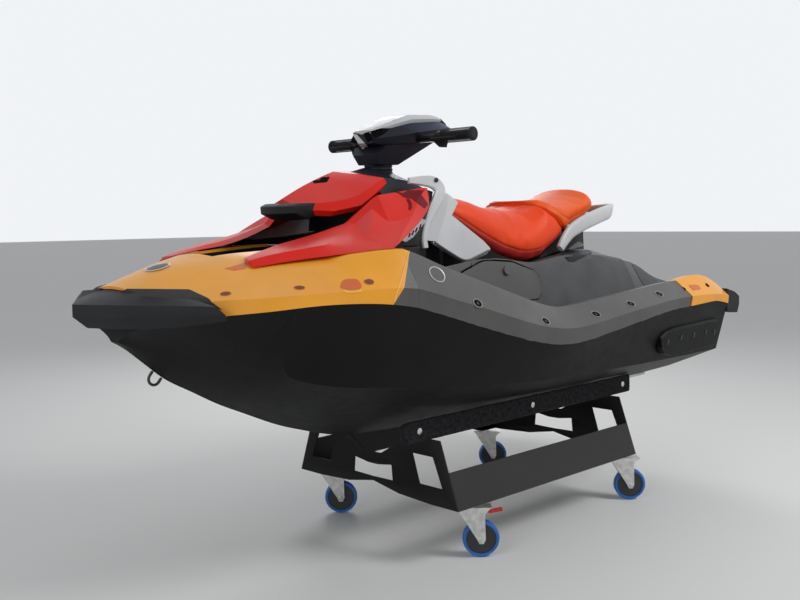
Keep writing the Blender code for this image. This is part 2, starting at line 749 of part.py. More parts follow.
def build_cowl():
    rings = []
    for row in COWL_SHARES:
        r = metres(dict(zip(COWL_COLUMNS, row)))
        half = [
            (0, r["top_z"]),
            (r["edge_y"], r["edge_z"]),
            (r["side_y"], KEEL_Z + COWL_SIDE_Z_SHARE * DEPTH),
            (r["low_y"], KEEL_Z + PEDESTAL_TOP_SHARE * DEPTH),
            (0, KEEL_Z + PEDESTAL_TOP_SHARE * DEPTH),
        ]
        rings.append(mirrored(half, r["x"]))
    cowl = loft("cowl", rings, "navy_gloss")
    base, down = steering_axis()
    profile = ((-STEER_PIN_L, STEER_PIN_R + GAP), (STEER_PIN_L + GAP, STEER_PIN_R + GAP))
    axes = (down, (0, 1, 0), down.cross(Vector((0, 1, 0))))
    bm = add_revolve(bmesh.new(), profile, base, *axes, ROUND_COUNT)
    cut(cowl, finish("cutter_steering", bm, "navy_gloss"))


# Middle line of the light strip in (x, z): over the shoulder and down the knee panel
STRIP_SHARES = (
    (0.108, 0.786),
    (0.072, 0.790),
    (0.057, 0.772),
    (0.055, 0.748),
    (0.062, 0.700),
    (0.070, 0.660),
)
STRIP_HALF_W = 0.015
STRIP_HALF_T = 0.007

# Outline of the knee panel in (x, z), on a plane that leans outwards to its foot
KNEE_SHARES = (
    (0.049, 0.752),
    (0.027, 0.721),
    (0.042, 0.681),
    (-0.013, 0.596),
    (-0.023, 0.575),
    (-0.012, 0.556),
    (0.028, 0.535),
    (0.084, 0.598),
    (0.075, 0.640),
    (0.060, 0.676),
)
KNEE_FOOT = 6
KNEE_TOP_Y_SHARE = 0.352
KNEE_FOOT_Y_SHARE = 0.425
KNEE_T = 0.016


def knee_y(z_share):
    """Distance of the knee panel's outer face from the middle plane at a height."""
    top_share = max(z for _, z in KNEE_SHARES)
    foot_share = min(z for _, z in KNEE_SHARES)
    up = (z_share - foot_share) / (top_share - foot_share)
    return HALF_BEAM * (KNEE_FOOT_Y_SHARE + (KNEE_TOP_Y_SHARE - KNEE_FOOT_Y_SHARE) * up)


def strip_path():
    out = STRIP_HALF_T + GAP
    return [spot(x, (knee_y(z) + out) / HALF_BEAM, z) for x, z in STRIP_SHARES]


def build_shoulders():
    outline = []
    for x, z in KNEE_SHARES:
        deck_z = deck_height(x, knee_y(z)) + GAP
        z_m = deck_z if (x, z) == KNEE_SHARES[KNEE_FOOT] else KEEL_Z + z * DEPTH
        outline.append((x * LENGTH, z_m))
    for side, word in ((1, "port"), (-1, "starboard")):
        path = sided(strip_path(), side)
        bm = add_sweep(bmesh.new(), path, strip_width, STRIP_HALF_W, STRIP_HALF_T)
        finish("shoulder_strip_" + word, bm, "light_grey")
        plate(
            "knee_panel_" + word,
            outline,
            lambda u, v, w, s=side: Vector(
                (u, s * (knee_y((v - KEEL_Z) / DEPTH) - KNEE_T * w), v)
            ),
            "silver_satin",
        )


def strip_width(k):
    """Direction across the strip at a point of its path: in the plane of the craft's side."""
    path = strip_path()
    along = path[min(k + 1, len(path) - 1)] - path[max(k - 1, 0)]
    return Vector((-along.z, 0, along.x))


# Seat: its lower edge, top and half width; the seam between its two cushions leans

SEAT_COLUMNS = "x top_z half_y low_z".split()
SEAT_SHARES = (
    (0.043, 0.748, 0.215, 0.705),
    (0.034, 0.747, 0.255, 0.677),
    (0.000, 0.743, 0.290, 0.634),
    (-0.030, 0.737, 0.310, 0.592),
    (-0.065, 0.716, 0.325, 0.550),
    (-0.095, 0.703, 0.332, 0.527),
    (-0.120, 0.706, 0.338, 0.519),
    (-0.140, 0.718, 0.340, 0.533),
    (-0.165, 0.730, 0.336, 0.574),
    (-0.185, 0.734, 0.330, 0.614),
)
SEAT_REAR_SHARES = (
    (-0.1852, 0.734, 0.330, 0.614),
    (-0.205, 0.744, 0.318, 0.634),
    (-0.235, 0.768, 0.305, 0.650),
    (-0.265, 0.785, 0.288, 0.672),
    (-0.290, 0.782, 0.262, 0.694),
    (-0.306, 0.760, 0.225, 0.708),
    (-0.311, 0.735, 0.180, 0.722),
)
# Section of a cushion from its crown to its foot: shares of half width and of the drop
CUSHION_SECTION_SHARES = (
    (0.00, 0.00),
    (0.38, 0.03),
    (0.70, 0.12),
    (0.90, 0.28),
    (1.00, 0.52),
    (0.99, 0.82),
    (0.90, 1.00),
    (0.00, 1.00),
)
SEAM_LEAD_SHARE = 0.028
SEAM_LEAN_SHARE = 0.060


def cushion_ring(row, lean):
    """A section of the seat; lean 1 lays it parallel to the seam, lean 0 upright."""
    r = metres(dict(zip(SEAT_COLUMNS, row)))
    points = []
    for width, drop in CUSHION_SECTION_SHARES:
        z = r["top_z"] + (r["low_z"] - r["top_z"]) * drop
        shift = lean * (SEAM_LEAD_SHARE - SEAM_LEAN_SHARE * drop) * LENGTH
        points.append((r["x"] + shift, width * r["half_y"], z))
    port = [Vector(p) for p in points]
    starboard = [Vector((p[0], -p[1], p[2])) for p in reversed(points) if p[1] > 0]
    return port + starboard


def front_lean(k):
    return (k / (len(SEAT_SHARES) - 1)) ** 2


def rear_lean(k):
    return 1 - k / (len(SEAT_REAR_SHARES) - 1)


def build_seat():
    rings = [cushion_ring(row, front_lean(k)) for k, row in enumerate(SEAT_SHARES)]
    loft("seat_front", rings, "seat_vinyl", smooth=True)
    rings = [cushion_ring(row, rear_lean(k)) for k, row in enumerate(SEAT_REAR_SHARES)]
    loft("seat_rear", rings, "seat_vinyl", smooth=True)


# Pedestal between deck and seat: its top follows the seat's foot

PEDESTAL_TOP_SHARE = 0.637
PEDESTAL_HALF_SHARES = (
    (-0.300, 0.160),
    (-0.270, 0.210),
    (-0.215, 0.260),
    (-0.120, 0.290),
    (0.000, 0.262),
    (0.030, 0.240),
    (0.050, 0.300),
    (0.140, 0.335),
)
PEDESTAL_FOOT_WIDEN = 0.006
PEDESTAL_CLEAR = 0.0025


def deck_height(x_share, y):
    """Height of the deck's top at a distance from the middle plane."""
    d = chord(deck_lines, x_share)
    points = [(0, d["centre_z"])]
    points += [(d[name + "_y"], d[name + "_z"]) for name in ("tunnel", "side", "foot")]
    return linear(points, y)


def seat_foot_line():
    """(x, z) shares of the cushions' lower edge, from the tail forwards."""
    points = []
    for table, lean in ((SEAT_SHARES, front_lean), (SEAT_REAR_SHARES, rear_lean)):
        for k, row in enumerate(table):
            shift = lean(k) * (SEAM_LEAD_SHARE - SEAM_LEAN_SHARE)
            points.append((row[0] + shift, row[3]))
    return sorted(points)


def build_pedestal():
    foot_line = seat_foot_line()
    start, end = PEDESTAL_HALF_SHARES[0][0], PEDESTAL_HALF_SHARES[-1][0]
    marks = {x for x, _ in foot_line + list(PEDESTAL_HALF_SHARES) if start < x < end}
    shares = sorted(marks | set(stations(start, end)))
    rings = []
    for s in shares:
        top_share = PEDESTAL_TOP_SHARE
        if s < SEAT_SHARES[0][0]:
            top_share = min(top_share, linear(foot_line, s))
        top_z = spot(0, 0, top_share).z - GAP
        half_y = linear(PEDESTAL_HALF_SHARES, s) * HALF_BEAM
        foot_y = half_y + PEDESTAL_FOOT_WIDEN
        half = [
            (0, top_z),
            (half_y, top_z),
            (foot_y, deck_height(s, foot_y) + PEDESTAL_CLEAR),
            (0, deck_height(s, 0) + PEDESTAL_CLEAR),
        ]
        rings.append(mirrored(half, s * LENGTH))
    loft("pedestal", rings, "black_shell")


# Grab handle: a strap from the port foot round the seat's tail to the starboard foot

HANDLE_SHARES = (
    (-0.196, 0.345, 0.560),
    (-0.215, 0.343, 0.602),
    (-0.245, 0.340, 0.636),
    (-0.285, 0.335, 0.680),
    (-0.325, 0.310, 0.708),
    (-0.352, 0.230, 0.712),
    (-0.362, 0.110, 0.712),
    (-0.364, 0.000, 0.712),
)
HANDLE_HALF_W = 0.022
HANDLE_HALF_T = 0.013
HANDLE_FOOT_H = 0.020
# Direction across the strap, leaning back
HANDLE_ACROSS_SHARES = (-0.35, 0, 1)


def build_handle():
    port = [spot(*p) for p in HANDLE_SHARES]
    first = port[0]
    heights = []
    for n in range(SWEEP_COUNT):
        angle = pi / SWEEP_COUNT + 2 * pi * n / SWEEP_COUNT
        x = first.x + HANDLE_HALF_W * cos(angle)
        heights.append(deck_height(x / LENGTH, first.y + HANDLE_HALF_T * sin(angle)))
    foot_z = max(heights)
    foot = Vector((first.x, first.y, foot_z + GAP))
    port = [foot, foot + Vector((0, 0, HANDLE_FOOT_H)), *port[1:]]
    starboard = [Vector((p.x, -p.y, p.z)) for p in reversed(port[:-1])]
    bm = add_sweep(bmesh.new(), port + starboard, HANDLE_ACROSS_SHARES, HANDLE_HALF_W, HANDLE_HALF_T)
    finish("grab_handle", bm, "light_grey", smooth=True)


# Access panels on the deck's sides: station, then shares of the way down the side

ACCESS_SHARES = (
    (-0.088, 0.20, 0.42),
    (-0.080, 0.11, 0.50),
    (-0.040, 0.04, 0.52),
    (0.012, 0.04, 0.52),
    (0.054, 0.12, 0.50),
    (0.066, 0.24, 0.40),
)
ACCESS_T = 0.006
KNOB_SHARES = (-0.024, 0.15)
KNOB_R = 0.017
KNOB_H = 0.008
KNOB_COUNT = 12


def deck_side(x_share, down, out, side):
    """A point on the sloping side of the deck's tunnel, moved outwards from it."""
    d = chord(deck_lines, x_share)
    normal = Vector((0, d["side_z"] - d["foot_z"], d["foot_y"] - d["side_y"])).normalized()
    y = d["side_y"] + (d["foot_y"] - d["side_y"]) * down
    z = d["side_z"] + (d["foot_z"] - d["side_z"]) * down
    return Vector((x_share * LENGTH, side * (y + normal.y * out), z + normal.z * out))


def build_access_panels():
    start, end = ACCESS_SHARES[0][0], ACCESS_SHARES[-1][0]
    marks = {row[0] for row in ACCESS_SHARES}
    shares = sorted(marks | set(stations(start, end)))
    tops = [(x, top) for x, top, _ in ACCESS_SHARES]
    lows = [(x, low) for x, _, low in ACCESS_SHARES]
    for side, word in ((1, "port"), (-1, "starboard")):
        rings = []
        for s in shares:
            top, low = linear(tops, s), linear(lows, s)
            rings.append(
                [
                    deck_side(s, top, 2 * GAP, side),
                    deck_side(s, low, 2 * GAP, side),
                    deck_side(s, low, 2 * GAP + ACCESS_T, side),
                    deck_side(s, top, 2 * GAP + ACCESS_T, side),
                ]
            )
        panel = loft("access_panel_" + word, rings, "grey_satin")
        foot = deck_side(*KNOB_SHARES, 2 * GAP + ACCESS_T / 2, side)
        outward = (foot - deck_side(*KNOB_SHARES, 0, side)).normalized()
        across = outward.cross(Vector((1, 0, 0))).normalized()
        profile = ((0, KNOB_R), (ACCESS_T / 2 + KNOB_H, KNOB_R))
        axes = (outward, (1, 0, 0), across)
        bm = add_revolve(bmesh.new(), profile, foot, *axes, KNOB_COUNT)
        join_to(panel, finish("join_knob_" + word, bm, "grey_satin"))


# Stern bumpers, sponsons and the bow eye

STERN_BUMPER_SHARES = (
    (-0.4602, 0.393),
    (-0.485, 0.378),
    (-0.500, 0.358),
    (-0.500, 0.326),
    (-0.494, 0.296),
    (-0.470, 0.300),
    (-0.4602, 0.306),
)
STERN_BUMPER_IN_SHARE = 0.640
STERN_BUMPER_OUT_SHARE = 0.880
SPONSON_SHARES = (
    (-0.430, 0.186, 0.286),
    (-0.395, 0.184, 0.288),
    (-0.290, 0.182, 0.284),
    (-0.266, 0.196, 0.276),
    (-0.254, 0.222, 0.258),
)
SPONSON_TOP_T = 0.012
SPONSON_FOOT_T = 0.030
SPONSON_CLEAR = 0.003
EYE_LEG_SHARES = (0.4055, 0.4155)
EYE_REACH = 0.016
EYE_WIRE_R = 0.0045
EYE_STEPS = 8


def build_stern():
    y_in = STERN_BUMPER_IN_SHARE * HALF_BEAM
    y_out = STERN_BUMPER_OUT_SHARE * HALF_BEAM
    outline = [(x * LENGTH, KEEL_Z + z * DEPTH) for x, z in STERN_BUMPER_SHARES]
    for side, word in ((1, "port"), (-1, "starboard")):
        plate(
            "stern_bumper_" + word,
            outline,
            lambda u, v, w, s=side: Vector((u, s * (y_in + (y_out - y_in) * w), v)),
            "charcoal_rubber",
        )
        rings = []
        for x, low, high in SPONSON_SHARES:
            low_z, high_z = KEEL_Z + low * DEPTH, KEEL_Z + high * DEPTH
            ring = [
                Vector((x * LENGTH, side_y(x, low_z) + SPONSON_CLEAR, low_z)),
                Vector((x * LENGTH, side_y(x, low_z) + SPONSON_FOOT_T, low_z)),
                Vector((x * LENGTH, side_y(x, high_z) + SPONSON_TOP_T, high_z - SPONSON_TOP_T)),
                Vector((x * LENGTH, side_y(x, high_z) + SPONSON_CLEAR, high_z)),
            ]
            rings.append(sided(ring, side))
        loft("sponson_" + word, rings, "black_shell")


def build_bow_eye():
    """A bent rod in the middle plane whose two legs end on the stem."""
    feet = [Vector((s * LENGTH, 0, chord(body, s)["keel_z"])) for s in EYE_LEG_SHARES]
    along = (feet[1] - feet[0]).normalized()
    out = Vector((along.z, 0, -along.x))
    radius = (feet[1] - feet[0]).length / 2
    centre = (feet[0] + feet[1]) / 2 + out * EYE_REACH
    path = [feet[0] + out * (2 * GAP)]
    for k in range(EYE_STEPS + 1):
        angle = pi * k / EYE_STEPS
        path.append(centre - along * (radius * cos(angle)) + out * (radius * sin(angle)))
    path.append(feet[1] + out * (2 * GAP))
    bm = add_sweep(bmesh.new(), path, (0, 1, 0), EYE_WIRE_R, EYE_WIRE_R)
    finish("bow_eye", bm, "zinc_steel", smooth=True)


# Ride plate and intake grate under the stern

PLATE_T = 0.010
PLATE_HALF_W = 0.125
PLATE_FRONT_SHARE = -0.345
GRATE_HALF_W = 0.085
GRATE_OVERLAP = 0.030
GRATE_SLOTS = 4
GRATE_SLOT_FILL_SHARE = 0.62
GRATE_CROSS_L = 0.020


def keel_plate_section(x_share, half_w, clear, thick):
    """A plate that follows the hull's V bottom at a station."""
    x = x_share * LENGTH
    low, high = bottom_z(x_share, 0), bottom_z(x_share, half_w)
    half = [
        (0, low - clear),
        (half_w, high - clear),
        (half_w, high - clear - thick),
        (0, low - clear - thick),
    ]
    return mirrored(half, x)


def build_bottom():
    shares = stations(STERN_SHARE, PLATE_FRONT_SHARE)
    rings = [keel_plate_section(s, PLATE_HALF_W, GAP, PLATE_T) for s in shares]
    loft("ride_plate", rings, "pump_alloy")
    over = GRATE_OVERLAP / LENGTH
    shares = stations(INTAKE_BACK_SHARE - over, INTAKE_FRONT_SHARE + over)
    rings = [keel_plate_section(s, GRATE_HALF_W, GAP, PLATE_T) for s in shares]
    grate = loft("intake_grate", rings, "pump_alloy")
    bm = bmesh.new()
    pitch = 2 * INTAKE_HALF_W / GRATE_SLOTS
    middle = (INTAKE_BACK_SHARE + INTAKE_FRONT_SHARE) / 2 * LENGTH
    ends = (INTAKE_BACK_SHARE * LENGTH, middle, INTAKE_FRONT_SHARE * LENGTH)
    for k in range(GRATE_SLOTS):
        centre = -INTAKE_HALF_W + (k + 1 / 2) * pitch
        half = GRATE_SLOT_FILL_SHARE * pitch / 2
        for back, front in zip(ends, ends[1:]):
            add_box(
                bm,
                (back + GRATE_CROSS_L / 2, centre - half, KEEL_Z - CUT_OVERRUN),
                (front - GRATE_CROSS_L / 2, centre + half, KEEL_Z + CUT_OVERRUN),
            )
    cut(grate, finish("cutter_slots", bm, "pump_alloy"))


# Jet pump at the stern: housing with vanes, impeller, steering nozzle and reverse gate

HOUSING_R = 0.078
HOUSING_WALL = 0.010
HOUSING_L = 0.140
HOUSING_FLANGE_R = 0.092
HOUSING_FLANGE_T = 0.012
OUTLET_R = 0.044
OUTLET_WALL = 0.006
OUTLET_L = 0.035
OUTLET_SHOULDER_L = 0.008
HUB_R = 0.026
HUB_L = 0.035
HUB_TIP_SHARE = 0.4
VANE_COUNT = 5
VANE_T = 0.005
IMPELLER_HUB_R = 0.022
IMPELLER_L = 0.040
IMPELLER_BLADES = 4
BLADE_STEPS = 3
BLADE_START_SHARE = 0.25
BLADE_RUN_SHARE = 0.65
BLADE_ROOT_SHARE = 0.6
IMPELLER_CLEAR = 0.0055
BLADE_T = 0.004
BLADE_TURN = radians(55)
SHAFT_R = 0.011
NOZZLE_R = 0.066
NOZZLE_END_R = 0.052
NOZZLE_WALL = 0.006
NOZZLE_L = 0.105
NOZZLE_CLEAR = 0.0055
LUG_T = 0.007
LUG_HALF_W = 0.014
PIN_R = 0.007
GATE_R = 0.096
GATE_WALL = 0.005
GATE_HALF_W = 0.078
GATE_SPAN = radians(62)
GATE_REST = radians(40)
ARM_TRIM = radians(3)
ARM_ROUND = radians(46)
GATE_STEPS = 8
GATE_AXIS_SHARE = 0.62
ROUND_COUNT = 20
SMALL_COUNT = 12


def pump_centre():
    return spot(PUMP_X_SHARE, 0, PUMP_Z_SHARE)


def add_tube(bm, start_x, end_x, outer, inner, centre, count=ROUND_COUNT):
    """A tube along X between two distances behind a centre, with (start, end) radii."""
    profile = (
        (start_x, outer[0]),
        (end_x, outer[1]),
        (end_x, inner[1]),
        (start_x, inner[0]),
    )
    return add_revolve(bm, profile, centre, (-1, 0, 0), (0, 1, 0), (0, 0, 1), count, closed=True)


def build_housing():
    centre = pump_centre()
    inner = HOUSING_R - HOUSING_WALL
    bm = bmesh.new()
    chamber = HOUSING_L - OUTLET_L
    profile = (
        (GAP, HOUSING_FLANGE_R),
        (HOUSING_FLANGE_T, HOUSING_FLANGE_R),
        (HOUSING_FLANGE_T, HOUSING_R),
        (chamber, HOUSING_R),
        (chamber + OUTLET_SHOULDER_L, OUTLET_R),
        (HOUSING_L, OUTLET_R),
        (HOUSING_L, OUTLET_R - OUTLET_WALL),
        (chamber + OUTLET_SHOULDER_L / 2, OUTLET_R - OUTLET_WALL),
        (chamber - OUTLET_SHOULDER_L / 2, inner),
        (GAP, inner),
    )
    add_revolve(bm, profile, centre, (-1, 0, 0), (0, 1, 0), (0, 0, 1), ROUND_COUNT, closed=True)
    housing = finish("pump_housing", bm, "pump_alloy", origin=centre, smooth=False)
    bm = bmesh.new()
    end = chamber - OUTLET_SHOULDER_L
    start = end - HUB_L
    profile = ((start, HUB_R), (end, HUB_R), (end + HUB_R, HUB_TIP_SHARE * HUB_R))
    add_revolve(bm, profile, centre, (-1, 0, 0), (0, 1, 0), (0, 0, 1), ROUND_COUNT)
    join_to(housing, finish("join_hub", bm, "pump_alloy"))
    for k in range(VANE_COUNT):
        angle = 2 * pi * (k + 1 / 2) / VANE_COUNT
        out = Vector((0, cos(angle), sin(angle)))
        across = Vector((0, -sin(angle), cos(angle)))
        near = HUB_R / 2
        far = inner + HOUSING_WALL / 2
        rings = []
        for reach in (near, far):
            rings.append(
                [
                    centre + out * reach + across * (v * VANE_T / 2) - Vector((d, 0, 0))
                    for d, v in ((start, -1), (end, -1), (end, 1), (start, 1))
                ]
            )
        join_to(housing, finish("join_vane_%d" % k, add_rings(bmesh.new(), rings), "pump_alloy"))
    lug_x = HOUSING_L + lug_reach()
    lug_low = NOZZLE_R + GAP + LUG_T + GAP
    for side in (1, -1):
        bm = add_box(
            bmesh.new(),
            (centre.x - lug_x - LUG_HALF_W, -LUG_HALF_W, centre.z + side * lug_low),
            (centre.x - chamber + 2 * LUG_T, LUG_HALF_W, centre.z + side * (lug_low + LUG_T)),
        )
        join_to(housing, finish("join_lug_%d" % side, bm, "pump_alloy"))


def lug_reach():
    """Distance from the housing's end to the nozzle's steering pins."""
    return NOZZLE_CLEAR + LUG_HALF_W


def build_impeller():
    centre = pump_centre()
    vane_start = HOUSING_L - OUTLET_L - OUTLET_SHOULDER_L - HUB_L
    hub_start = vane_start - NOZZLE_CLEAR - IMPELLER_L
    pivot_point = centre - Vector((hub_start + IMPELLER_L / 2, 0, 0))
    axle = pivot("impeller_axis", pivot_point)
    bm = bmesh.new()
    profile = (
        (GAP, SHAFT_R),
        (hub_start, SHAFT_R),
        (hub_start + IMPELLER_HUB_R - SHAFT_R, IMPELLER_HUB_R),
        (hub_start + IMPELLER_L, IMPELLER_HUB_R),
    )
    add_revolve(bm, profile, centre, (-1, 0, 0), (0, 1, 0), (0, 0, 1), SMALL_COUNT)
    impeller = finish("impeller", bm, "pump_alloy", origin=pivot_point, parent=axle)
    tip = HOUSING_R - HOUSING_WALL - IMPELLER_CLEAR
    root = BLADE_ROOT_SHARE * IMPELLER_HUB_R
    corners = ((root, -1), (tip, -1), (tip, 1), (root, 1))
    for k in range(IMPELLER_BLADES):
        rings = []
        for step in range(BLADE_STEPS + 1):
            t = step / BLADE_STEPS
            angle = 2 * pi * k / IMPELLER_BLADES + BLADE_TURN * t
            out = Vector((0, cos(angle), sin(angle)))
            across = Vector((0, -sin(angle), cos(angle)))
            back_x = hub_start + (BLADE_START_SHARE + BLADE_RUN_SHARE * t) * IMPELLER_L
            middle = centre - Vector((back_x, 0, 0))
            rings.append(
                [middle + out * reach + across * (v * BLADE_T / 2) for reach, v in corners]
            )
        blade = finish("join_blade_%d" % k, add_rings(bmesh.new(), rings), "pump_alloy")
        join_to(impeller, blade)


def build_nozzle():
    centre = pump_centre()
    steer_point = centre - Vector((HOUSING_L + lug_reach(), 0, 0))
    steer = pivot("nozzle_steer", steer_point)
    start = HOUSING_L + NOZZLE_CLEAR
    end = start + NOZZLE_L
    bm = bmesh.new()
    add_tube(
        bm,
        start,
        end,
        (NOZZLE_R, NOZZLE_END_R),
        (NOZZLE_R - NOZZLE_WALL, NOZZLE_END_R - NOZZLE_WALL),
        centre,
    )
    nozzle = finish("steering_nozzle", bm, "pump_alloy", origin=steer_point, parent=steer)
    for side in (1, -1):
        low = NOZZLE_R - NOZZLE_WALL
        profile = ((low, PIN_R), (NOZZLE_R + GAP + LUG_T, PIN_R))
        axes = ((0, 0, side), (1, 0, 0), (0, side, 0))
        bm = add_revolve(bmesh.new(), profile, steer_point, *axes, SMALL_COUNT)
        join_to(nozzle, finish("join_pin_%d" % side, bm, "pump_alloy"))
        gate_point = gate_axis_point()
        profile = ((NOZZLE_END_R - NOZZLE_WALL, PIN_R), (GATE_HALF_W - GATE_WALL + GAP, PIN_R))
        axes = ((0, side, 0), (1, 0, 0), (0, 0, -side))
        bm = add_revolve(bmesh.new(), profile, gate_point, *axes, SMALL_COUNT)
        join_to(nozzle, finish("join_trunnion_%d" % side, bm, "pump_alloy"))
    build_gate(steer)


def gate_axis_point():
    back = HOUSING_L + NOZZLE_CLEAR + GATE_AXIS_SHARE * NOZZLE_L
    return pump_centre() - Vector((back, 0, 0))


def build_gate(steer):
    """The reverse gate: a curved bucket between two arms, hung on the nozzle's trunnions."""
    axis_point = gate_axis_point()
    hinge = pivot("gate_hinge", axis_point)
    hinge.parent = steer
    hinge.matrix_parent_inverse = Matrix.Translation(steer.location).inverted()
    start, end = GATE_REST, GATE_REST + GATE_SPAN
    angles = [start + (end - start) * k / GATE_STEPS for k in range(GATE_STEPS + 1)]
    inner = GATE_R - GATE_WALL
    outline = [(-GATE_R * cos(a), GATE_R * sin(a)) for a in angles]
    outline += [(-inner * cos(a), inner * sin(a)) for a in reversed(angles)]
    bm = add_plate(
        bmesh.new(),
        outline,
        [],
        lambda u, v, w: axis_point + Vector((u, GATE_HALF_W * (2 * w - 1), v)),
    )
    gate = finish("reverse_gate", bm, "pump_alloy", origin=axis_point, parent=hinge)
    middle = (start + end) / 2
    reach = GATE_R - GATE_WALL / 2
    for side in (1, -1):
        arm = []
        for angle in (middle + pi + ARM_ROUND, middle + pi, middle + pi - ARM_ROUND):
            arm.append((-LUG_HALF_W * cos(angle), LUG_HALF_W * sin(angle)))
        for angle in (end - ARM_TRIM, middle, start + ARM_TRIM):
            arm.append((-reach * cos(angle), reach * sin(angle)))
        bm = add_plate(
            bmesh.new(),
            arm,
            [],
            lambda u, v, w, s=side: axis_point
            + Vector((u, s * (GATE_HALF_W + 2 * GAP - GATE_WALL * w), v)),
        )
        join_to(gate, finish("join_arm_%d" % side, bm, "pump_alloy"))


# Steering head: neck, cover, cheeks, bar, grips, levers and gauge, on one leaning axis

STEER_BASE_SHARES = (0.086, 0.0, 0.840)
STEER_LEAN = radians(27)
STEER_PIN_R = 0.020
STEER_PIN_L = 0.040
NECK_SHARES = (
    (0.108, 0.8385, 0.074, 0.8385, 0.085),
    (0.112, 0.8680, 0.050, 0.8720, 0.112),
    (0.104, 0.8941, 0.020, 0.9131, 0.140),
)
HEAD_FOOT_SHARE = 0.9
CHEEK_FOOT_SHARE = 0.85
HEAD_COLUMNS = "x top_z top_y edge_y edge_z low_z".split()
HEAD_SHARES = (
    (0.118, 0.941, 0.055, 0.078, 0.937, 0.9300),
    (0.080, 0.978, 0.110, 0.140, 0.966, 0.9550),
    (0.062, 0.993, 0.115, 0.150, 0.978, 0.9660),
    (0.020, 0.999, 0.110, 0.140, 0.986, 0.9760),
    (0.002, 0.996, 0.090, 0.120, 0.985, 0.9780),
)
CHEEK_COLUMNS = "x top_z top_y mid_z mid_y low_z".split()
CHEEK_SHARES = (
    (-0.014, 0.9660, 0.110, 0.960, 0.130, 0.9520),
    (0.002, 0.9775, 0.120, 0.958, 0.165, 0.9300),
    (0.020, 0.9755, 0.138, 0.950, 0.190, 0.9145),
    (0.062, 0.9655, 0.148, 0.937, 0.195, 0.9045),
    (0.080, 0.9545, 0.138, 0.928, 0.180, 0.9000),
    (0.104, 0.9387, 0.100, 0.918, 0.130, 0.8950),
    (0.118, 0.9295, 0.074, 0.914, 0.100, 0.9000),
)
GAUGE_SHARES = (
    (-0.013, 0.9672, 0.095, 0.975),
    (-0.001, 0.9758, 0.100, 0.992),
)
BAR_X_SHARE = 0.056
BAR_COVER_T = 0.0015
BAR_HALF_L = 0.352
BAR_R = 0.011
GRIP_R = 0.0165
GRIP_L = 0.140
GRIP_FLANGE_R = 0.023
GRIP_FLANGE_T = 0.006
GRIP_END_T = 0.006
BAR_COUNT = 12
LEVER_L = 0.110
LEVER_REACH = 0.045
LEVER_DROP = 0.012
LEVER_T = 0.005
LEVER_HALF_W = 0.007
LEVER_ROOT_SHARE = 0.75
LEVER_BEND_SHARE = 0.3
CLAMP_R = 0.019
CLAMP_T = 0.022


def steering_axis():
    """A point on the steering's axis, and the way down along it."""
    return spot(*STEER_BASE_SHARES), Vector((sin(STEER_LEAN), 0, -cos(STEER_LEAN)))


def build_steering():
    base, down = steering_axis()
    steer = pivot("steering_axis", base)
    options = {"origin": base, "parent": steer}
    rings = []
    for front_x, front_z, back_x, back_z, half in NECK_SHARES:
        front, back = spot(front_x, half, front_z), spot(back_x, half, back_z)
        rings.append(
            [
                front,
                back,
                Vector((back.x, -back.y, back.z)),
                Vector((front.x, -front.y, front.z)),
            ]
        )
    neck = loft("steering_neck", rings, "navy_gloss", split=False, **options)
    profile = ((-STEER_PIN_L / 2, STEER_PIN_R), (STEER_PIN_L, STEER_PIN_R))
    axes = (down, (0, 1, 0), down.cross(Vector((0, 1, 0))))
    bm = add_revolve(bmesh.new(), profile, base, *axes, ROUND_COUNT)
    join_to(neck, finish("join_pin_steering", bm, "navy_gloss", **options))
    rings = []
    for row in HEAD_SHARES:
        r = metres(dict(zip(HEAD_COLUMNS, row)))
        half = [
            (0, r["top_z"]),
            (r["top_y"], r["top_z"] - GAP),
            (r["edge_y"], r["edge_z"]),
            (HEAD_FOOT_SHARE * r["edge_y"], r["low_z"]),
            (0, r["low_z"]),
        ]
        rings.append(mirrored(half, r["x"]))
    loft("head_cover", rings, "white_gloss", **options)
    rings = []
    for row in CHEEK_SHARES:
        r = metres(dict(zip(CHEEK_COLUMNS, row)))
        half = [
            (0, r["top_z"]),
            (r["top_y"], r["top_z"]),
            (r["mid_y"], r["mid_z"]),
            (CHEEK_FOOT_SHARE * r["mid_y"], r["low_z"]),
            (0, r["low_z"]),
        ]
        rings.append(mirrored(half, r["x"]))
    cheeks = loft("head_cheeks", rings, "navy_gloss", **options)
    foot_share = linear([(row[0], row[-1]) for row in CHEEK_SHARES], BAR_X_SHARE)
    bar = spot(BAR_X_SHARE, 0, foot_share) + Vector((0, 0, BAR_R + GAP + BAR_COVER_T))
    across = ((0, 1, 0), (0, 0, 1), (1, 0, 0))
    profile = ((-BAR_HALF_L, BAR_R + GAP), (BAR_HALF_L, BAR_R + GAP))
    bm = add_revolve(bmesh.new(), profile, bar, *across, BAR_COUNT)
    cut(cheeks, finish("cutter_bar", bm, "navy_gloss", **options))
    profile = ((-BAR_HALF_L, BAR_R), (BAR_HALF_L, BAR_R))
    revolve("handlebar", profile, bar, *across, BAR_COUNT, "black_shell", **options)
    rings = []
    for x, low, half_share, top in GAUGE_SHARES:
        high, under = spot(x, half_share, top), spot(x, half_share, low)
        half = [(0, high.z), (high.y, high.z), (under.y, under.z), (0, under.z)]
        rings.append(mirrored(half, high.x))
    loft("gauge", rings, "black_shell", **options)
    for side, word, lever in ((1, "port", "brake_lever"), (-1, "starboard", "throttle_lever")):
        build_hand_end(side, word, lever, bar, options)


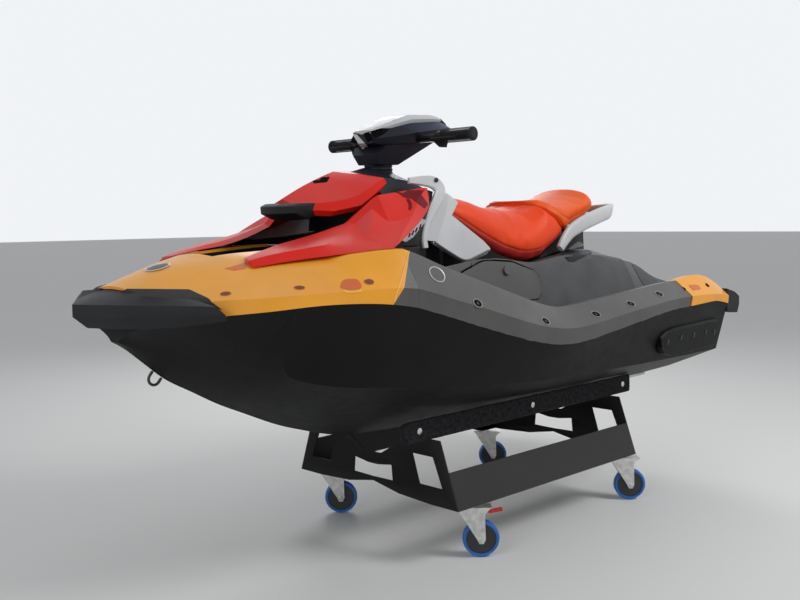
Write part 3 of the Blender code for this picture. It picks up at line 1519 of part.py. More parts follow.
def build_hand_end(side, word, lever_name, bar, options):
    """A grip over one end of the bar and the lever clamped beside it."""
    across = ((0, side, 0), (0, 0, 1), (side, 0, 0))
    start = BAR_HALF_L + GRIP_END_T - GRIP_L
    profile = (
        (BAR_HALF_L + GAP, BAR_R + GAP),
        (start, BAR_R + GAP),
        (start, GRIP_FLANGE_R),
        (start + GRIP_FLANGE_T, GRIP_FLANGE_R),
        (start + GRIP_FLANGE_T, GRIP_R),
        (BAR_HALF_L + GRIP_END_T, GRIP_R),
    )
    bm = add_revolve(bmesh.new(), profile, bar, *across, BAR_COUNT)
    finish("grip_" + word, bm, "grip_rubber", smooth=False, **options)
    clamp_end = start - 2 * GAP
    profile = (
        (clamp_end - CLAMP_T, CLAMP_R),
        (clamp_end, CLAMP_R),
        (clamp_end, BAR_R + GAP),
        (clamp_end - CLAMP_T, BAR_R + GAP),
    )
    bm = add_revolve(bmesh.new(), profile, bar, *across, BAR_COUNT, closed=True)
    clamp = finish(lever_name, bm, "black_shell", **options)
    root_y = clamp_end - CLAMP_T / 2
    bend_y = root_y + LEVER_BEND_SHARE * LEVER_L
    points = (
        (LEVER_ROOT_SHARE * CLAMP_R, root_y),
        (LEVER_REACH, root_y),
        (LEVER_REACH + LEVER_T, bend_y),
        (LEVER_REACH, root_y + LEVER_L),
    )
    path = [bar + Vector((x, side * y, -LEVER_DROP)) for x, y in points]
    bm = add_sweep(bmesh.new(), path, (0, 0, 1), LEVER_HALF_W, LEVER_T)
    join_to(clamp, finish("join_" + lever_name, bm, "black_shell", **options))


# Trolley: two pressed cross frames, two side rails, two carpeted bunks

FRAME_FRONT_X = 0.300
FRAME_REAR_X = -0.755
FRAME_T = 0.004
FRAME_FOOT_Z = 0.183
FRAME_TOP_Z = 0.405
FRAME_HALF_W = 0.405
# Cross frame in shares of its half width and of its height, from the foot up
FRAME_EDGE_SHARES = (
    (0.000, 0.140),
    (0.320, 0.035),
    (0.700, 0.000),
    (1.000, 0.000),
    (0.807, 1.000),
    (0.470, 1.000),
    (0.100, 0.610),
)
FRAME_WINDOW_SHARES = (
    (0.568, 0.280),
    (0.827, 0.280),
    (0.721, 0.730),
    (0.489, 0.730),
)
FRAME_HOLE_SHARES = (
    (0.000, 0.207),
    (0.245, 0.216),
    (0.232, 0.460),
    (0.062, 0.415),
)
MOUNT_HALF_L = 0.055
MOUNT_HALF_W = 0.040
MOUNT_T = 0.004
MOUNT_LIFT = 0.001
RAIL_T = 0.004
RAIL_H = 0.120
BUNK_FRONT_X = 0.430
BUNK_REAR_X = -0.880
BUNK_IN_Y = 0.262
BUNK_OUT_Y = 0.302

# Casters: each swivels on the frame's foot and is parked turned by the same angle
CASTER_FRONT_X = 0.197
CASTER_REAR_X = -0.712
CASTER_Y = 0.357
CASTER_TRAIL = 0.040
CASTER_TURN = radians(136)
WHEEL_R = 0.0625
WHEEL_HALF_W = 0.016
TREAD_T = 0.011
TREAD_BEVEL_SHARE = 0.3
CORE_HALF_W = 0.012
HUB_BOSS_R = 0.014
FORK_HALF_W = 0.026
FORK_T = 0.003
FORK_FRONT_L = 0.045
FORK_BACK_L = 0.075
FORK_SHOULDER_L = 0.052
FORK_SHOULDER_H = 0.022
SWIVEL_R = 0.026
SWIVEL_T = 0.012
PEDAL_HALF_W = 0.018
PEDAL_T = 0.004
PEDAL_L = 0.112
PEDAL_KNEE_L = 0.072
PEDAL_DROP = 0.014
PEDAL_TIP_H = 0.008
WHEEL_COUNT = 28
SWIVEL_COUNT = 16


def frame_height():
    return FRAME_TOP_Z - FRAME_FOOT_Z


def frame_points(shares, side):
    """Turns shares of the cross frame's half width and height into (y, z)."""
    return [(side * y * FRAME_HALF_W, FRAME_FOOT_Z + z * frame_height()) for y, z in shares]


def both_sides(shares):
    """A closed outline from a half that starts on the middle plane."""
    return frame_points(shares, 1) + frame_points(shares[:0:-1], -1)


def rail_y(z):
    """Half width of a cross frame's outer edge at a height."""
    foot, top = FRAME_EDGE_SHARES[3], FRAME_EDGE_SHARES[4]
    down = (z - FRAME_FOOT_Z) / frame_height()
    return FRAME_HALF_W * (foot[0] + (top[0] - foot[0]) * down)


def build_cross_frame(name, x, flange_to):
    outline = both_sides(FRAME_EDGE_SHARES)
    holes = [both_sides(FRAME_HOLE_SHARES)]
    holes += [frame_points(FRAME_WINDOW_SHARES, side) for side in (1, -1)]

    def place(u, v, w):
        return Vector((x + FRAME_T * (w - 1 / 2), u, v))

    frame = plate(name, outline, place, "sheet_steel_black", holes=holes)
    for side in (1, -1):
        y = side * CASTER_Y
        low_z = FRAME_FOOT_Z + MOUNT_LIFT
        low = (min(x, flange_to), y - MOUNT_HALF_W, low_z)
        high = (max(x, flange_to), y + MOUNT_HALF_W, low_z + MOUNT_T)
        bm = add_box(bmesh.new(), low, high)
        flange_name = "join_flange_%s_%d" % (name, side)
        join_to(frame, finish(flange_name, bm, "sheet_steel_black"))


def build_trolley():
    build_cross_frame("cross_frame_front", FRAME_FRONT_X, CASTER_FRONT_X - MOUNT_HALF_L)
    build_cross_frame("cross_frame_rear", FRAME_REAR_X, CASTER_REAR_X + MOUNT_HALF_L)
    for side, word in ((1, "port"), (-1, "starboard")):
        build_side_rail(side, word)
        build_bunk(side, word)


def build_side_rail(side, word):
    """A long sheet between the frames, leaning inwards like their edges."""
    start = FRAME_REAR_X + FRAME_T / 2 + GAP
    end = FRAME_FRONT_X - FRAME_T / 2 - GAP
    top_z = FRAME_FOOT_Z + RAIL_H
    rings = []
    for x in (start, end):
        ring = [
            Vector((x, rail_y(FRAME_FOOT_Z), FRAME_FOOT_Z)),
            Vector((x, rail_y(top_z), top_z)),
            Vector((x, rail_y(top_z) - RAIL_T, top_z)),
            Vector((x, rail_y(FRAME_FOOT_Z) - RAIL_T, FRAME_FOOT_Z)),
        ]
        rings.append(sided(ring, side))
    loft("side_rail_" + word, rings, "sheet_steel_black")


def build_bunk(side, word):
    """A carpeted board on the frames; its top follows the hull's bottom aft."""
    share = BUNK_REAR_X / LENGTH
    low_z = FRAME_TOP_Z + GAP
    in_z = bottom_z(share, BUNK_IN_Y) - GAP
    out_z = bottom_z(share, BUNK_OUT_Y) - GAP
    rings = []
    for x in (BUNK_REAR_X, BUNK_FRONT_X):
        ring = [
            Vector((x, BUNK_IN_Y, low_z)),
            Vector((x, BUNK_OUT_Y, low_z)),
            Vector((x, BUNK_OUT_Y, out_z)),
            Vector((x, BUNK_IN_Y, in_z)),
        ]
        rings.append(sided(ring, side))
    loft("bunk_" + word, rings, "carpet")


def build_caster(end_word, x, side, word):
    """A swivelling fork under the flange, its wheel, and on one caster a brake pedal."""
    name = end_word + "_" + word
    foot = Vector((x, side * CASTER_Y, FRAME_FOOT_Z + MOUNT_LIFT))
    swivel = pivot("swivel_" + name, foot)
    options = {"origin": foot, "parent": swivel}
    trail = Vector((cos(CASTER_TURN), sin(CASTER_TURN), 0))
    across = Vector((-trail.y, trail.x, 0))

    def at(along, aside, z):
        return foot + trail * along + across * aside + Vector((0, 0, z - foot.z))

    def wall(inner, outer):
        return lambda u, v, w: at(u, inner + (outer - inner) * w, v)

    top_z = foot.z - GAP
    bridge_z = top_z - SWIVEL_T
    bridge_low = bridge_z - FORK_T
    profile = ((0, SWIVEL_R), (SWIVEL_T + FORK_T / 2, SWIVEL_R))
    axes = ((0, 0, -1), (1, 0, 0), (0, 1, 0))
    bm = add_revolve(bmesh.new(), profile, at(0, 0, top_z), *axes, SWIVEL_COUNT)
    fork = finish("fork_" + name, bm, "zinc_steel", **options)
    outline = [
        (-FORK_FRONT_L, bridge_low),
        (FORK_BACK_L, bridge_low),
        (FORK_BACK_L, bridge_z),
        (-FORK_FRONT_L, bridge_z),
    ]
    bm = add_plate(bmesh.new(), outline, [], wall(-FORK_HALF_W, FORK_HALF_W))
    join_to(fork, finish("join_bridge_" + name, bm, "zinc_steel", **options))
    arm_top = bridge_z - FORK_T / 4
    outline = [
        (CASTER_TRAIL - HUB_BOSS_R / 2, WHEEL_R - HUB_BOSS_R),
        (CASTER_TRAIL + HUB_BOSS_R / 2, WHEEL_R - HUB_BOSS_R),
        (CASTER_TRAIL + HUB_BOSS_R, WHEEL_R),
        (FORK_SHOULDER_L, arm_top - FORK_SHOULDER_H),
        (FORK_BACK_L - FORK_T, arm_top),
        (FORK_T - FORK_FRONT_L, arm_top),
        (CASTER_TRAIL - HUB_BOSS_R, WHEEL_R),
    ]
    for arm in (1, -1):
        outer = arm * (FORK_HALF_W + GAP)
        inner = arm * (FORK_HALF_W + GAP - FORK_T)
        bm = add_plate(bmesh.new(), outline, [], wall(inner, outer))
        join_to(fork, finish("join_arm_%s_%d" % (name, arm), bm, "zinc_steel", **options))
    axle = at(CASTER_TRAIL, 0, WHEEL_R)
    hub = pivot("axle_" + name, axle)
    hub.parent = swivel
    hub.matrix_parent_inverse = Matrix.Translation(foot).inverted()
    build_wheel(name, axle, trail, across, hub)
    if (end_word, word) == ("front", "port"):
        under = bridge_low - GAP
        outline = [
            (-PEDAL_HALF_W, under - PEDAL_T),
            (SWIVEL_R, under - PEDAL_T),
            (PEDAL_KNEE_L, under - PEDAL_T - PEDAL_DROP),
            (PEDAL_L, under - PEDAL_T - PEDAL_DROP + PEDAL_TIP_H),
            (PEDAL_L, under - PEDAL_DROP + PEDAL_TIP_H),
            (PEDAL_KNEE_L, under - PEDAL_DROP),
            (SWIVEL_R, under),
            (-PEDAL_HALF_W, under),
        ]
        bm = add_plate(bmesh.new(), outline, [], wall(-PEDAL_HALF_W, PEDAL_HALF_W))
        finish("brake_pedal", bm, "red_plastic", **options)


def build_wheel(name, axle, trail, across, hub):
    hub_half_w = FORK_HALF_W - FORK_T
    rim_r = WHEEL_R - TREAD_T
    shoulder_r = WHEEL_R - TREAD_BEVEL_SHARE * TREAD_T
    half = (
        (WHEEL_HALF_W / 2, WHEEL_R),
        (WHEEL_HALF_W, shoulder_r),
        (WHEEL_HALF_W, rim_r),
        (CORE_HALF_W, rim_r),
        (CORE_HALF_W, HUB_BOSS_R),
        (hub_half_w, HUB_BOSS_R),
    )
    profile = [(-d, r) for d, r in reversed(half)] + list(half)
    axes = (across, trail, (0, 0, 1))
    options = {"origin": axle, "parent": hub}
    revolve("wheel_" + name, profile, axle, *axes, WHEEL_COUNT, "blue_tread", **options)


def build_casters():
    for end_word, x in (("front", CASTER_FRONT_X), ("rear", CASTER_REAR_X)):
        for side, word in ((1, "port"), (-1, "starboard")):
            build_caster(end_word, x, side, word)


def main():
    clear_scene()
    build_hull()
    build_deck()
    build_gunwales()
    build_nose()
    build_bumper()
    build_fairings()
    build_hood()
    build_cowl()
    build_shoulders()
    build_seat()
    build_pedestal()
    build_handle()
    build_access_panels()
    build_stern()
    build_bow_eye()
    build_bottom()
    build_housing()
    build_impeller()
    build_nozzle()
    build_steering()
    build_trolley()
    build_casters()


main()
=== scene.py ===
"""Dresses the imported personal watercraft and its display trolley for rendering."""

import json
from math import cos, pi, radians, sin

import bmesh
import bpy
from mathutils import Euler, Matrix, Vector, noise
from mathutils.bvhtree import BVHTree
from mathutils.geometry import convex_hull_2d


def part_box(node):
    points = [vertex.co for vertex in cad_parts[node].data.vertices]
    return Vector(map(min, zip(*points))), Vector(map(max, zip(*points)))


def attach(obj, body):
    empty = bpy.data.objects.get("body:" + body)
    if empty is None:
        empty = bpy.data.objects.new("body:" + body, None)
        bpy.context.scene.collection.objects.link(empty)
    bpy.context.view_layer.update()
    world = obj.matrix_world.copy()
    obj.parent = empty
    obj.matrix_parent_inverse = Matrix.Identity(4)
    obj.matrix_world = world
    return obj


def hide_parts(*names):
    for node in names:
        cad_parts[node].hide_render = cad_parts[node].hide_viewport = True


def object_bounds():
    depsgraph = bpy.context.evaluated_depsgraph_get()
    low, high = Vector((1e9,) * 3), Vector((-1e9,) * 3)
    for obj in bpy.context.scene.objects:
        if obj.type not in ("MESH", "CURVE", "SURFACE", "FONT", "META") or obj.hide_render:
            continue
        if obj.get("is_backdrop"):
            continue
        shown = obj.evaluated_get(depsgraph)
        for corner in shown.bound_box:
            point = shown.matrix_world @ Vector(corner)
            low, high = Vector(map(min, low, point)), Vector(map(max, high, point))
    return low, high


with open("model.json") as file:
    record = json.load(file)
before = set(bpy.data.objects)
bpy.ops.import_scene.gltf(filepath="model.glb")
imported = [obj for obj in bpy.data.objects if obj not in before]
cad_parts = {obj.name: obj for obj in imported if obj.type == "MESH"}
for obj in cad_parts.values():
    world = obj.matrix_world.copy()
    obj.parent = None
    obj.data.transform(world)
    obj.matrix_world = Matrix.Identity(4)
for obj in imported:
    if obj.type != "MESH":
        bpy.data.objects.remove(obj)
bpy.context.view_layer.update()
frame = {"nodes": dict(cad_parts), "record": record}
NODES = frame["nodes"]
SCENE = bpy.context.scene

# Camera, floor, lamps and world

LENS = 43.43
SENSOR = 36
PHOTO_WIDE, PHOTO_HIGH = 800, 600
CAMERA_PLACE = (2.56762, 2.46304, 1.13053)
CAMERA_TURN = (1.487492, 0.013673, 2.365695)
FLOOR_HALF = 60
SKY_COLOUR = (0.95, 0.97, 1.0, 1)
SKY_LIGHT, SKY_SEEN = 0.36, 0.92


def placed(name, data):
    """A new object in the scene."""
    obj = bpy.data.objects.new(name, data)
    SCENE.collection.objects.link(obj)
    return obj


def make_camera():
    data = bpy.data.cameras.new("camera")
    data.lens = LENS
    camera = placed("camera", data)
    camera.location = CAMERA_PLACE
    camera.rotation_euler = Euler(CAMERA_TURN)
    SCENE.camera = camera
    SCENE.view_settings.view_transform = "Standard"


def make_lamp(name, place, aim, size, power):
    data = bpy.data.lights.new(name, "AREA")
    data.shape = "DISK"
    data.size = size
    data.energy = power
    lamp = placed(name, data)
    lamp.location = place
    lamp.rotation_euler = (Vector(aim) - Vector(place)).to_track_quat("-Z", "Y").to_euler()


def make_stage():
    bm = bmesh.new()
    bmesh.ops.create_grid(bm, x_segments=8, y_segments=8, size=FLOOR_HALF)
    mesh = bpy.data.meshes.new("floor")
    bm.to_mesh(mesh)
    bm.free()
    floor = placed("floor", mesh)
    floor.location = (0, 0, -0.001)
    material = bpy.data.materials.new("floor_pale")
    material.use_nodes = True
    tree = material.node_tree
    shader = tree.nodes["Principled BSDF"]
    shader.inputs["Base Color"].default_value = (0.78, 0.78, 0.77, 1)
    shader.inputs["Roughness"].default_value = 0.7
    grain = tree.nodes.new("ShaderNodeTexNoise")
    grain.inputs["Scale"].default_value = 3
    bump = tree.nodes.new("ShaderNodeBump")
    bump.inputs["Strength"].default_value = 0.02
    tree.links.new(grain.outputs["Fac"], bump.inputs["Height"])
    tree.links.new(bump.outputs["Normal"], shader.inputs["Normal"])
    mesh.materials.append(material)
    floor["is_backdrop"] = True
    world = bpy.data.worlds.new("world")
    SCENE.world = world
    world.use_nodes = True
    tree = world.node_tree
    back = tree.nodes["Background"]
    path = tree.nodes.new("ShaderNodeLightPath")
    seen = tree.nodes.new("ShaderNodeMath")
    seen.operation = "MAXIMUM"
    tree.links.new(path.outputs["Is Camera Ray"], seen.inputs[0])
    tree.links.new(path.outputs["Is Glossy Ray"], seen.inputs[1])
    level = tree.nodes.new("ShaderNodeMapRange")
    level.inputs["To Min"].default_value = SKY_LIGHT
    level.inputs["To Max"].default_value = SKY_SEEN
    tree.links.new(seen.outputs["Value"], level.inputs["Value"])
    tree.links.new(level.outputs["Result"], back.inputs["Strength"])
    back.inputs["Color"].default_value = SKY_COLOUR


make_camera()
make_stage()
make_lamp("key", (-1.6, 3.4, 3.6), (0, 0, 0.8), 1.6, 95)
make_lamp("fill", (4.6, 1.2, 2.6), (0, 0, 0.7), 2.6, 45)
make_lamp("rim", (-2.6, -3.2, 3.0), (0, 0, 0.9), 2.0, 50)

# Materials: each has colour mottle, roughness variation and a fine grain in the bump


def material(name, colour, rough, grain, mottle, metal=0.0, grit=0.0015, patch=0.15,
             coat=0.0, wear=0.0, wear_colour=(0.5, 0.5, 0.5), shine=0.5):
    made = bpy.data.materials.new(name)
    made.use_nodes = True
    tree = made.node_tree
    nodes, link = tree.nodes, tree.links.new
    shader = nodes["Principled BSDF"]
    place = nodes.new("ShaderNodeTexCoord")

    def noise_node(size, detail):
        node = nodes.new("ShaderNodeTexNoise")
        node.inputs["Scale"].default_value = 1 / size
        node.inputs["Detail"].default_value = detail
        link(place.outputs["Object"], node.inputs["Vector"])
        return node

    large = noise_node(patch, 5)
    ramp = nodes.new("ShaderNodeValToRGB")
    ramp.color_ramp.elements[0].position = 0.35
    ramp.color_ramp.elements[1].position = 0.65
    ramp.color_ramp.elements[0].color = (*(c * (1 - mottle) for c in colour), 1)
    ramp.color_ramp.elements[1].color = (*(min(1, c * (1 + mottle)) for c in colour), 1)
    link(large.outputs["Fac"], ramp.inputs["Fac"])
    base = ramp.outputs["Color"]
    if wear:
        edge = nodes.new("ShaderNodeNewGeometry")
        near = nodes.new("ShaderNodeValToRGB")
        near.color_ramp.elements[0].position = 0.52
        near.color_ramp.elements[1].position = 0.62
        link(edge.outputs["Pointiness"], near.inputs["Fac"])
        part = nodes.new("ShaderNodeMath")
        part.operation = "MULTIPLY"
        link(near.outputs["Color"], part.inputs[0])
        part.inputs[1].default_value = wear
        mix = nodes.new("ShaderNodeMix")
        mix.data_type = "RGBA"
        link(part.outputs["Value"], mix.inputs["Factor"])
        link(base, mix.inputs["A"])
        mix.inputs["B"].default_value = (*wear_colour, 1)
        base = mix.outputs["Result"]
    link(base, shader.inputs["Base Color"])
    middle = noise_node(patch / 4, 4)
    spread = nodes.new("ShaderNodeMapRange")
    spread.inputs["From Min"].default_value = 0.3
    spread.inputs["From Max"].default_value = 0.7
    spread.inputs["To Min"].default_value = max(0.05, rough - 0.03)
    spread.inputs["To Max"].default_value = min(1, rough + 0.04)
    link(middle.outputs["Fac"], spread.inputs["Value"])
    link(spread.outputs["Result"], shader.inputs["Roughness"])
    fine = noise_node(grit, 3)
    bump = nodes.new("ShaderNodeBump")
    bump.inputs["Strength"].default_value = grain
    bump.inputs["Distance"].default_value = 0.0006
    link(fine.outputs["Fac"], bump.inputs["Height"])
    link(bump.outputs["Normal"], shader.inputs["Normal"])
    shader.inputs["Metallic"].default_value = metal
    shader.inputs["Specular IOR Level"].default_value = shine
    shader.inputs["Coat Weight"].default_value = coat
    shader.inputs["Coat Roughness"].default_value = 0.12
    return made


# Each look: colour, roughness, strength of the grain, mottle of the colour, and the rest
LOOKS = {
    "black_shell": ((0.007, 0.0071, 0.0075), 0.5, 0.35, 0.12, dict(grit=0.0022, shine=0.12)),
    "charcoal_rubber": ((0.015, 0.0155, 0.0175), 0.58, 0.5, 0.12, dict(grit=0.002, shine=0.25)),
    "orange_gloss": ((0.86, 0.365, 0.03), 0.36, 0.1, 0.04,
        dict(grit=0.003, coat=0.08, shine=0.28)),
    "red_gloss": ((0.7, 0.018, 0.009), 0.34, 0.1, 0.05,
        dict(grit=0.003, coat=0.04, shine=0.2)),
    "grey_satin": ((0.088, 0.086, 0.084), 0.4, 0.3, 0.1, dict(grit=0.0018, shine=0.3)),
    "silver_satin": ((0.52, 0.52, 0.53), 0.33, 0.12, 0.07, dict(metal=0.25)),
    "light_grey": ((0.6, 0.61, 0.62), 0.4, 0.25, 0.06, {}),
    "seat_vinyl": ((0.9, 0.07, 0.014), 0.44, 0.45, 0.06, dict(grit=0.003, shine=0.2)),
    "navy_gloss": ((0.01, 0.012, 0.02), 0.42, 0.18, 0.2, dict(shine=0.18)),
    "navy_cheek": ((0.01, 0.016, 0.042), 0.36, 0.1, 0.2, dict(shine=0.2)),
    "white_gloss": ((0.56, 0.57, 0.59), 0.44, 0.08, 0.04, dict(shine=0.25)),
    "sheet_steel_black": ((0.0075, 0.0075, 0.0085), 0.48, 0.3, 0.2,
        dict(shine=0.1, wear=0.3, wear_colour=(0.2, 0.19, 0.18))),
    "carpet": ((0.022, 0.022, 0.024), 0.95, 1.0, 0.45, dict(grit=0.0025, patch=0.012, shine=0.15)),
    "zinc_steel": ((0.62, 0.62, 0.6), 0.34, 0.2, 0.15, dict(metal=1.0, patch=0.02)),
    "blue_tread": ((0.015, 0.13, 0.48), 0.5, 0.3, 0.15, {}),
    "red_plastic": ((0.62, 0.018, 0.022), 0.38, 0.15, 0.1, {}),
    "pump_alloy": ((0.52, 0.53, 0.55), 0.38, 0.35, 0.15, dict(metal=1.0, grit=0.003, patch=0.05)),
    "grip_rubber": ((0.014, 0.014, 0.015), 0.75, 0.6, 0.2, dict(shine=0.3)),
    # Black: painted shade inside cups, recesses, slots and slits, and the real dark joint round the
    # access panels
    "shade_and_joint_black": ((0.003, 0.003, 0.003), 0.85, 0.2, 0.2, dict(shine=0.05)),
    "black_screw": ((0.03, 0.03, 0.032), 0.3, 0.2, 0.2, dict(metal=0.6)),
    "dark_red": ((0.14, 0.004, 0.01), 0.48, 0.1, 0.1, dict(shine=0.12)),
    "black_core": ((0.022, 0.022, 0.024), 0.42, 0.3, 0.2, {}),
    "mat_rubber": ((0.075, 0.078, 0.082), 0.8, 1.0, 0.2, dict(grit=0.0035)),
    "seat_band": ((0.52, 0.022, 0.016), 0.45, 0.45, 0.08, dict(grit=0.003)),
    "thread": ((0.55, 0.035, 0.02), 0.7, 0.6, 0.1, dict(grit=0.0006)),
    # The orange darkened: painted shade in recesses, folds and the rims of hollows on the orange
    # mouldings
    "orange_shaded": ((0.62, 0.12, 0.012), 0.38, 0.1, 0.06, {}),
    # The orange lightened: painted highlight along lips and edges of the orange mouldings
    "orange_highlight": ((0.92, 0.5, 0.1), 0.34, 0.1, 0.05, dict(shine=0.25)),
    # The seat's vinyl made lighter and more orange: painted sunlight, used on the rear cushion
    "seat_vinyl_sunlit": ((0.9, 0.12, 0.016), 0.44, 0.45, 0.06, dict(grit=0.003, shine=0.2)),
    # Light grey: painted highlight on the chamfered rims of the gunwale's hollows
    "rim_highlight_grey": ((0.2, 0.2, 0.2), 0.4, 0.15, 0.1, {}),
    # Dark orange: painted shade inside the hollows of the orange mouldings
    "orange_hole_shade": ((0.14, 0.035, 0.008), 0.6, 0.2, 0.2, {}),
    "steel_dark": ((0.03, 0.03, 0.031), 0.42, 0.3, 0.25, {}),
    "tan_liner": ((0.42, 0.24, 0.13), 0.55, 0.4, 0.12, {}),
    "screen": ((0.012, 0.014, 0.018), 0.12, 0.05, 0.2, dict(coat=0.6)),
}
M = {name: material(name, *look[:4], **look[4]) for name, look in LOOKS.items()}

# CAD nodes: their own paint, and rounded creases; the widths are those of the nodes that show

BEVELS = {"corner_cap": 0.007, "front_deck": 0.003, "head_cover": 0.004, "head_cheeks": 0.005,
          "steering_neck": 0.006, "knee_panel": 0.006, "pedestal": 0.004, "access_panel": 0.003,
          "stern_bumper": 0.01, "sponson": 0.003, "bunk": 0.008, "side_rail": 0.001,
          "cross_frame": 0.001, "gauge": 0.003, "fork": 0.001, "wheel": 0.002,
          "reverse_gate": 0.001, "pump_housing": 0.0012, "brake_pedal": 0.001}
BEVEL_ELSE = 0.0015
PAINTS = {"bow_eye": "steel_dark"}
MERGE = 0.00002


def rounded(obj, width, angle=30):
    """Rounds the edges that fold by more than the angle, in degrees."""
    bevel = obj.modifiers.new("round", "BEVEL")
    bevel.width = width
    bevel.segments = 2
    bevel.limit_method = "ANGLE"
    bevel.angle_limit = radians(angle)
    bevel.harden_normals = True
    bevel.use_clamp_overlap = True


def dress(name, obj):
    mesh = obj.data
    slot = mesh.materials[0].name.split(".")[0]
    mesh.materials[0] = M[PAINTS.get(name, slot)]
    if "custom_normal" in mesh.attributes:
        mesh.attributes.remove(mesh.attributes["custom_normal"])
    mesh.polygons.foreach_set("use_smooth", [True] * len(mesh.polygons))
    weld = obj.modifiers.new("weld", "WELD")
    weld.merge_threshold = MERGE
    rounded(obj, next((w for start, w in BEVELS.items() if name.startswith(start)), BEVEL_ELSE), 24)


def coat_by(node, paint, choose):
    """Gives a node a second material on the faces whose centre choose picks."""
    mesh = node.data
    mesh.materials.append(M[paint])
    for face in mesh.polygons:
        if choose(Vector(face.center)):
            face.material_index = len(mesh.materials) - 1


JOINTS = {j["name"]: j for j in frame["record"]["behaviour"]["joints"]}
ENDS = [(end, side) for end in ("front", "rear") for side in ("port", "starboard")]
TREAD_START = 0.046
CHEEK_FROM = 1.435


def off_axle(point, joint):
    place, axis = Vector(joint["pos_m"]), Vector(joint["axis"]).normalized()
    reach = point - place
    return (reach - axis * reach.dot(axis)).length


for node_name, node in NODES.items():
    dress(node_name, node)
for end, side in ENDS:
    roll = JOINTS[f"roll_{end}_{side}"]
    coat_by(NODES[f"wheel_{end}_{side}"], "black_core",
            lambda centre, joint=roll: off_axle(centre, joint) < TREAD_START)
coat_by(NODES["head_cheeks"], "navy_cheek", lambda centre: centre.z > CHEEK_FROM)

# Lofted shells: the same form with its triangles joined, smoothed between its creases.
# Each has its body, the fold in degrees from which an edge is a crease, and its bevel's width

SKINS = {}
SMOOTHED = {"hull": ("craft", 26, 0.005), "deck": ("craft", 24, 0.006),
            "gunwale_port": ("craft", 18, 0.005), "gunwale_starboard": ("craft", 18, 0.005),
            "nose_panel": ("craft", 26, 0.0035), "bow_bumper": ("craft", 26, 0.01),
            "fairing_port": ("craft", 20, 0.0035), "fairing_starboard": ("craft", 20, 0.0035),
            "hood": ("hood", 16, 0.004), "cowl": ("craft", 14, 0.007)}

# Where one moulding's colour ends on a slant: a place and the way forward and up, side view,
# the paint of what lies beyond it, and whether that is ahead of it
NOSE_REAR = (Vector((0.576, 0, 1.036)), Vector((0.785, 0, 0.619)))
BUMPER_REAR = (Vector((1.167, 0, 0.904)), Vector((0.8, 0, -0.6)))
SPLITS = {"nose_panel": (NOSE_REAR, "grey_satin", False),
          "gunwale_port": (NOSE_REAR, "orange_gloss", True),
          "gunwale_starboard": (NOSE_REAR, "orange_gloss", True)}
# Aft of this the hull keeps its exact form, because of the pump parts that move there
STERN_KEPT = -0.8


def cut_along(bm, plane, dist=0.00001, **how):
    parts = bm.verts[:] + bm.edges[:] + bm.faces[:]
    return bmesh.ops.bisect_plane(bm, geom=parts, dist=dist, plane_co=plane[0], plane_no=plane[1],
                                  **how)


def split_colour(bm, plane, ahead):
    """Cuts the mesh along a plane; the faces on one side take the second material."""
    spot, normal = plane
    cut_along(bm, plane)
    for face in bm.faces:
        side = (face.calc_center_median() - spot).dot(normal) > 0
        face.material_index = 1 if side == ahead else 0


def end_on_slant(bm, plane):
    """Cuts off what lies behind a plane and closes the ends."""
    cut = cut_along(bm, plane, clear_inner=True)
    rim = [item for item in cut["geom_cut"] if isinstance(item, bmesh.types.BMEdge)]
    bmesh.ops.holes_fill(bm, edges=rim, sides=0)
    bmesh.ops.recalc_face_normals(bm, faces=bm.faces)


def smooth_skin(name, body, sharp, width):
    source = NODES[name]
    bm = bmesh.new()
    bm.from_mesh(source.data)
    bmesh.ops.remove_doubles(bm, verts=bm.verts, dist=MERGE)
    if name == "bow_bumper":
        end_on_slant(bm, BUMPER_REAR)
    bmesh.ops.dissolve_limit(bm, angle_limit=radians(0.6), verts=bm.verts, edges=bm.edges)
    # A joined face can be C-shaped, and would then close the pump's tunnel
    bmesh.ops.triangulate(bm, faces=[face for face in bm.faces if len(face.verts) > 4])
    bmesh.ops.join_triangles(bm, faces=bm.faces, angle_face_threshold=radians(sharp),
                             angle_shape_threshold=radians(60))
    if name in SPLITS:
        split_colour(bm, SPLITS[name][0], SPLITS[name][2])
    bm.normal_update()
    crease = bm.edges.layers.float.new("crease_edge")
    for edge in bm.edges:
        folded = name == "hull" and min(v.co.x for v in edge.verts) < STERN_KEPT
        folded = folded or len(edge.link_faces) == 2 and (
            edge.calc_face_angle(0) > radians(sharp)
            or edge.link_faces[0].material_index != edge.link_faces[1].material_index)
        edge[crease] = 1.0 if folded else 0.0
    for face in bm.faces:
        face.smooth = True
    mesh = bpy.data.meshes.new(f"{name}_skin")
    bm.to_mesh(mesh)
    bm.free()
    mesh.materials.append(source.data.materials[0])
    if name in SPLITS:
        mesh.materials.append(M[SPLITS[name][1]])
    skin = placed(f"{name}_skin", mesh)
    smooth = skin.modifiers.new("smooth", "SUBSURF")
    smooth.levels = smooth.render_levels = 2
    rounded(skin, width, sharp - 1)
    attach(skin, body)
    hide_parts(name)
    SKINS[name] = skin


for skin_name, (skin_body, skin_sharp, skin_width) in SMOOTHED.items():
    smooth_skin(skin_name, skin_body, skin_sharp, skin_width)

# Helpers: pieces from mesh code, laid on the surfaces that carry them


def add(name, bm, paint, body, sharp=35):
    mesh = bpy.data.meshes.new(name)
    bmesh.ops.recalc_face_normals(bm, faces=bm.faces)
    bm.to_mesh(mesh)
    bm.free()
    mesh.polygons.foreach_set("use_smooth", [True] * len(mesh.polygons))
    mesh.set_sharp_from_angle(angle=radians(sharp))
    mesh.materials.append(M[paint])
    obj = placed(name, mesh)
    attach(obj, body)
    return obj


bpy.context.view_layer.update()
GRAPH = bpy.context.evaluated_depsgraph_get()


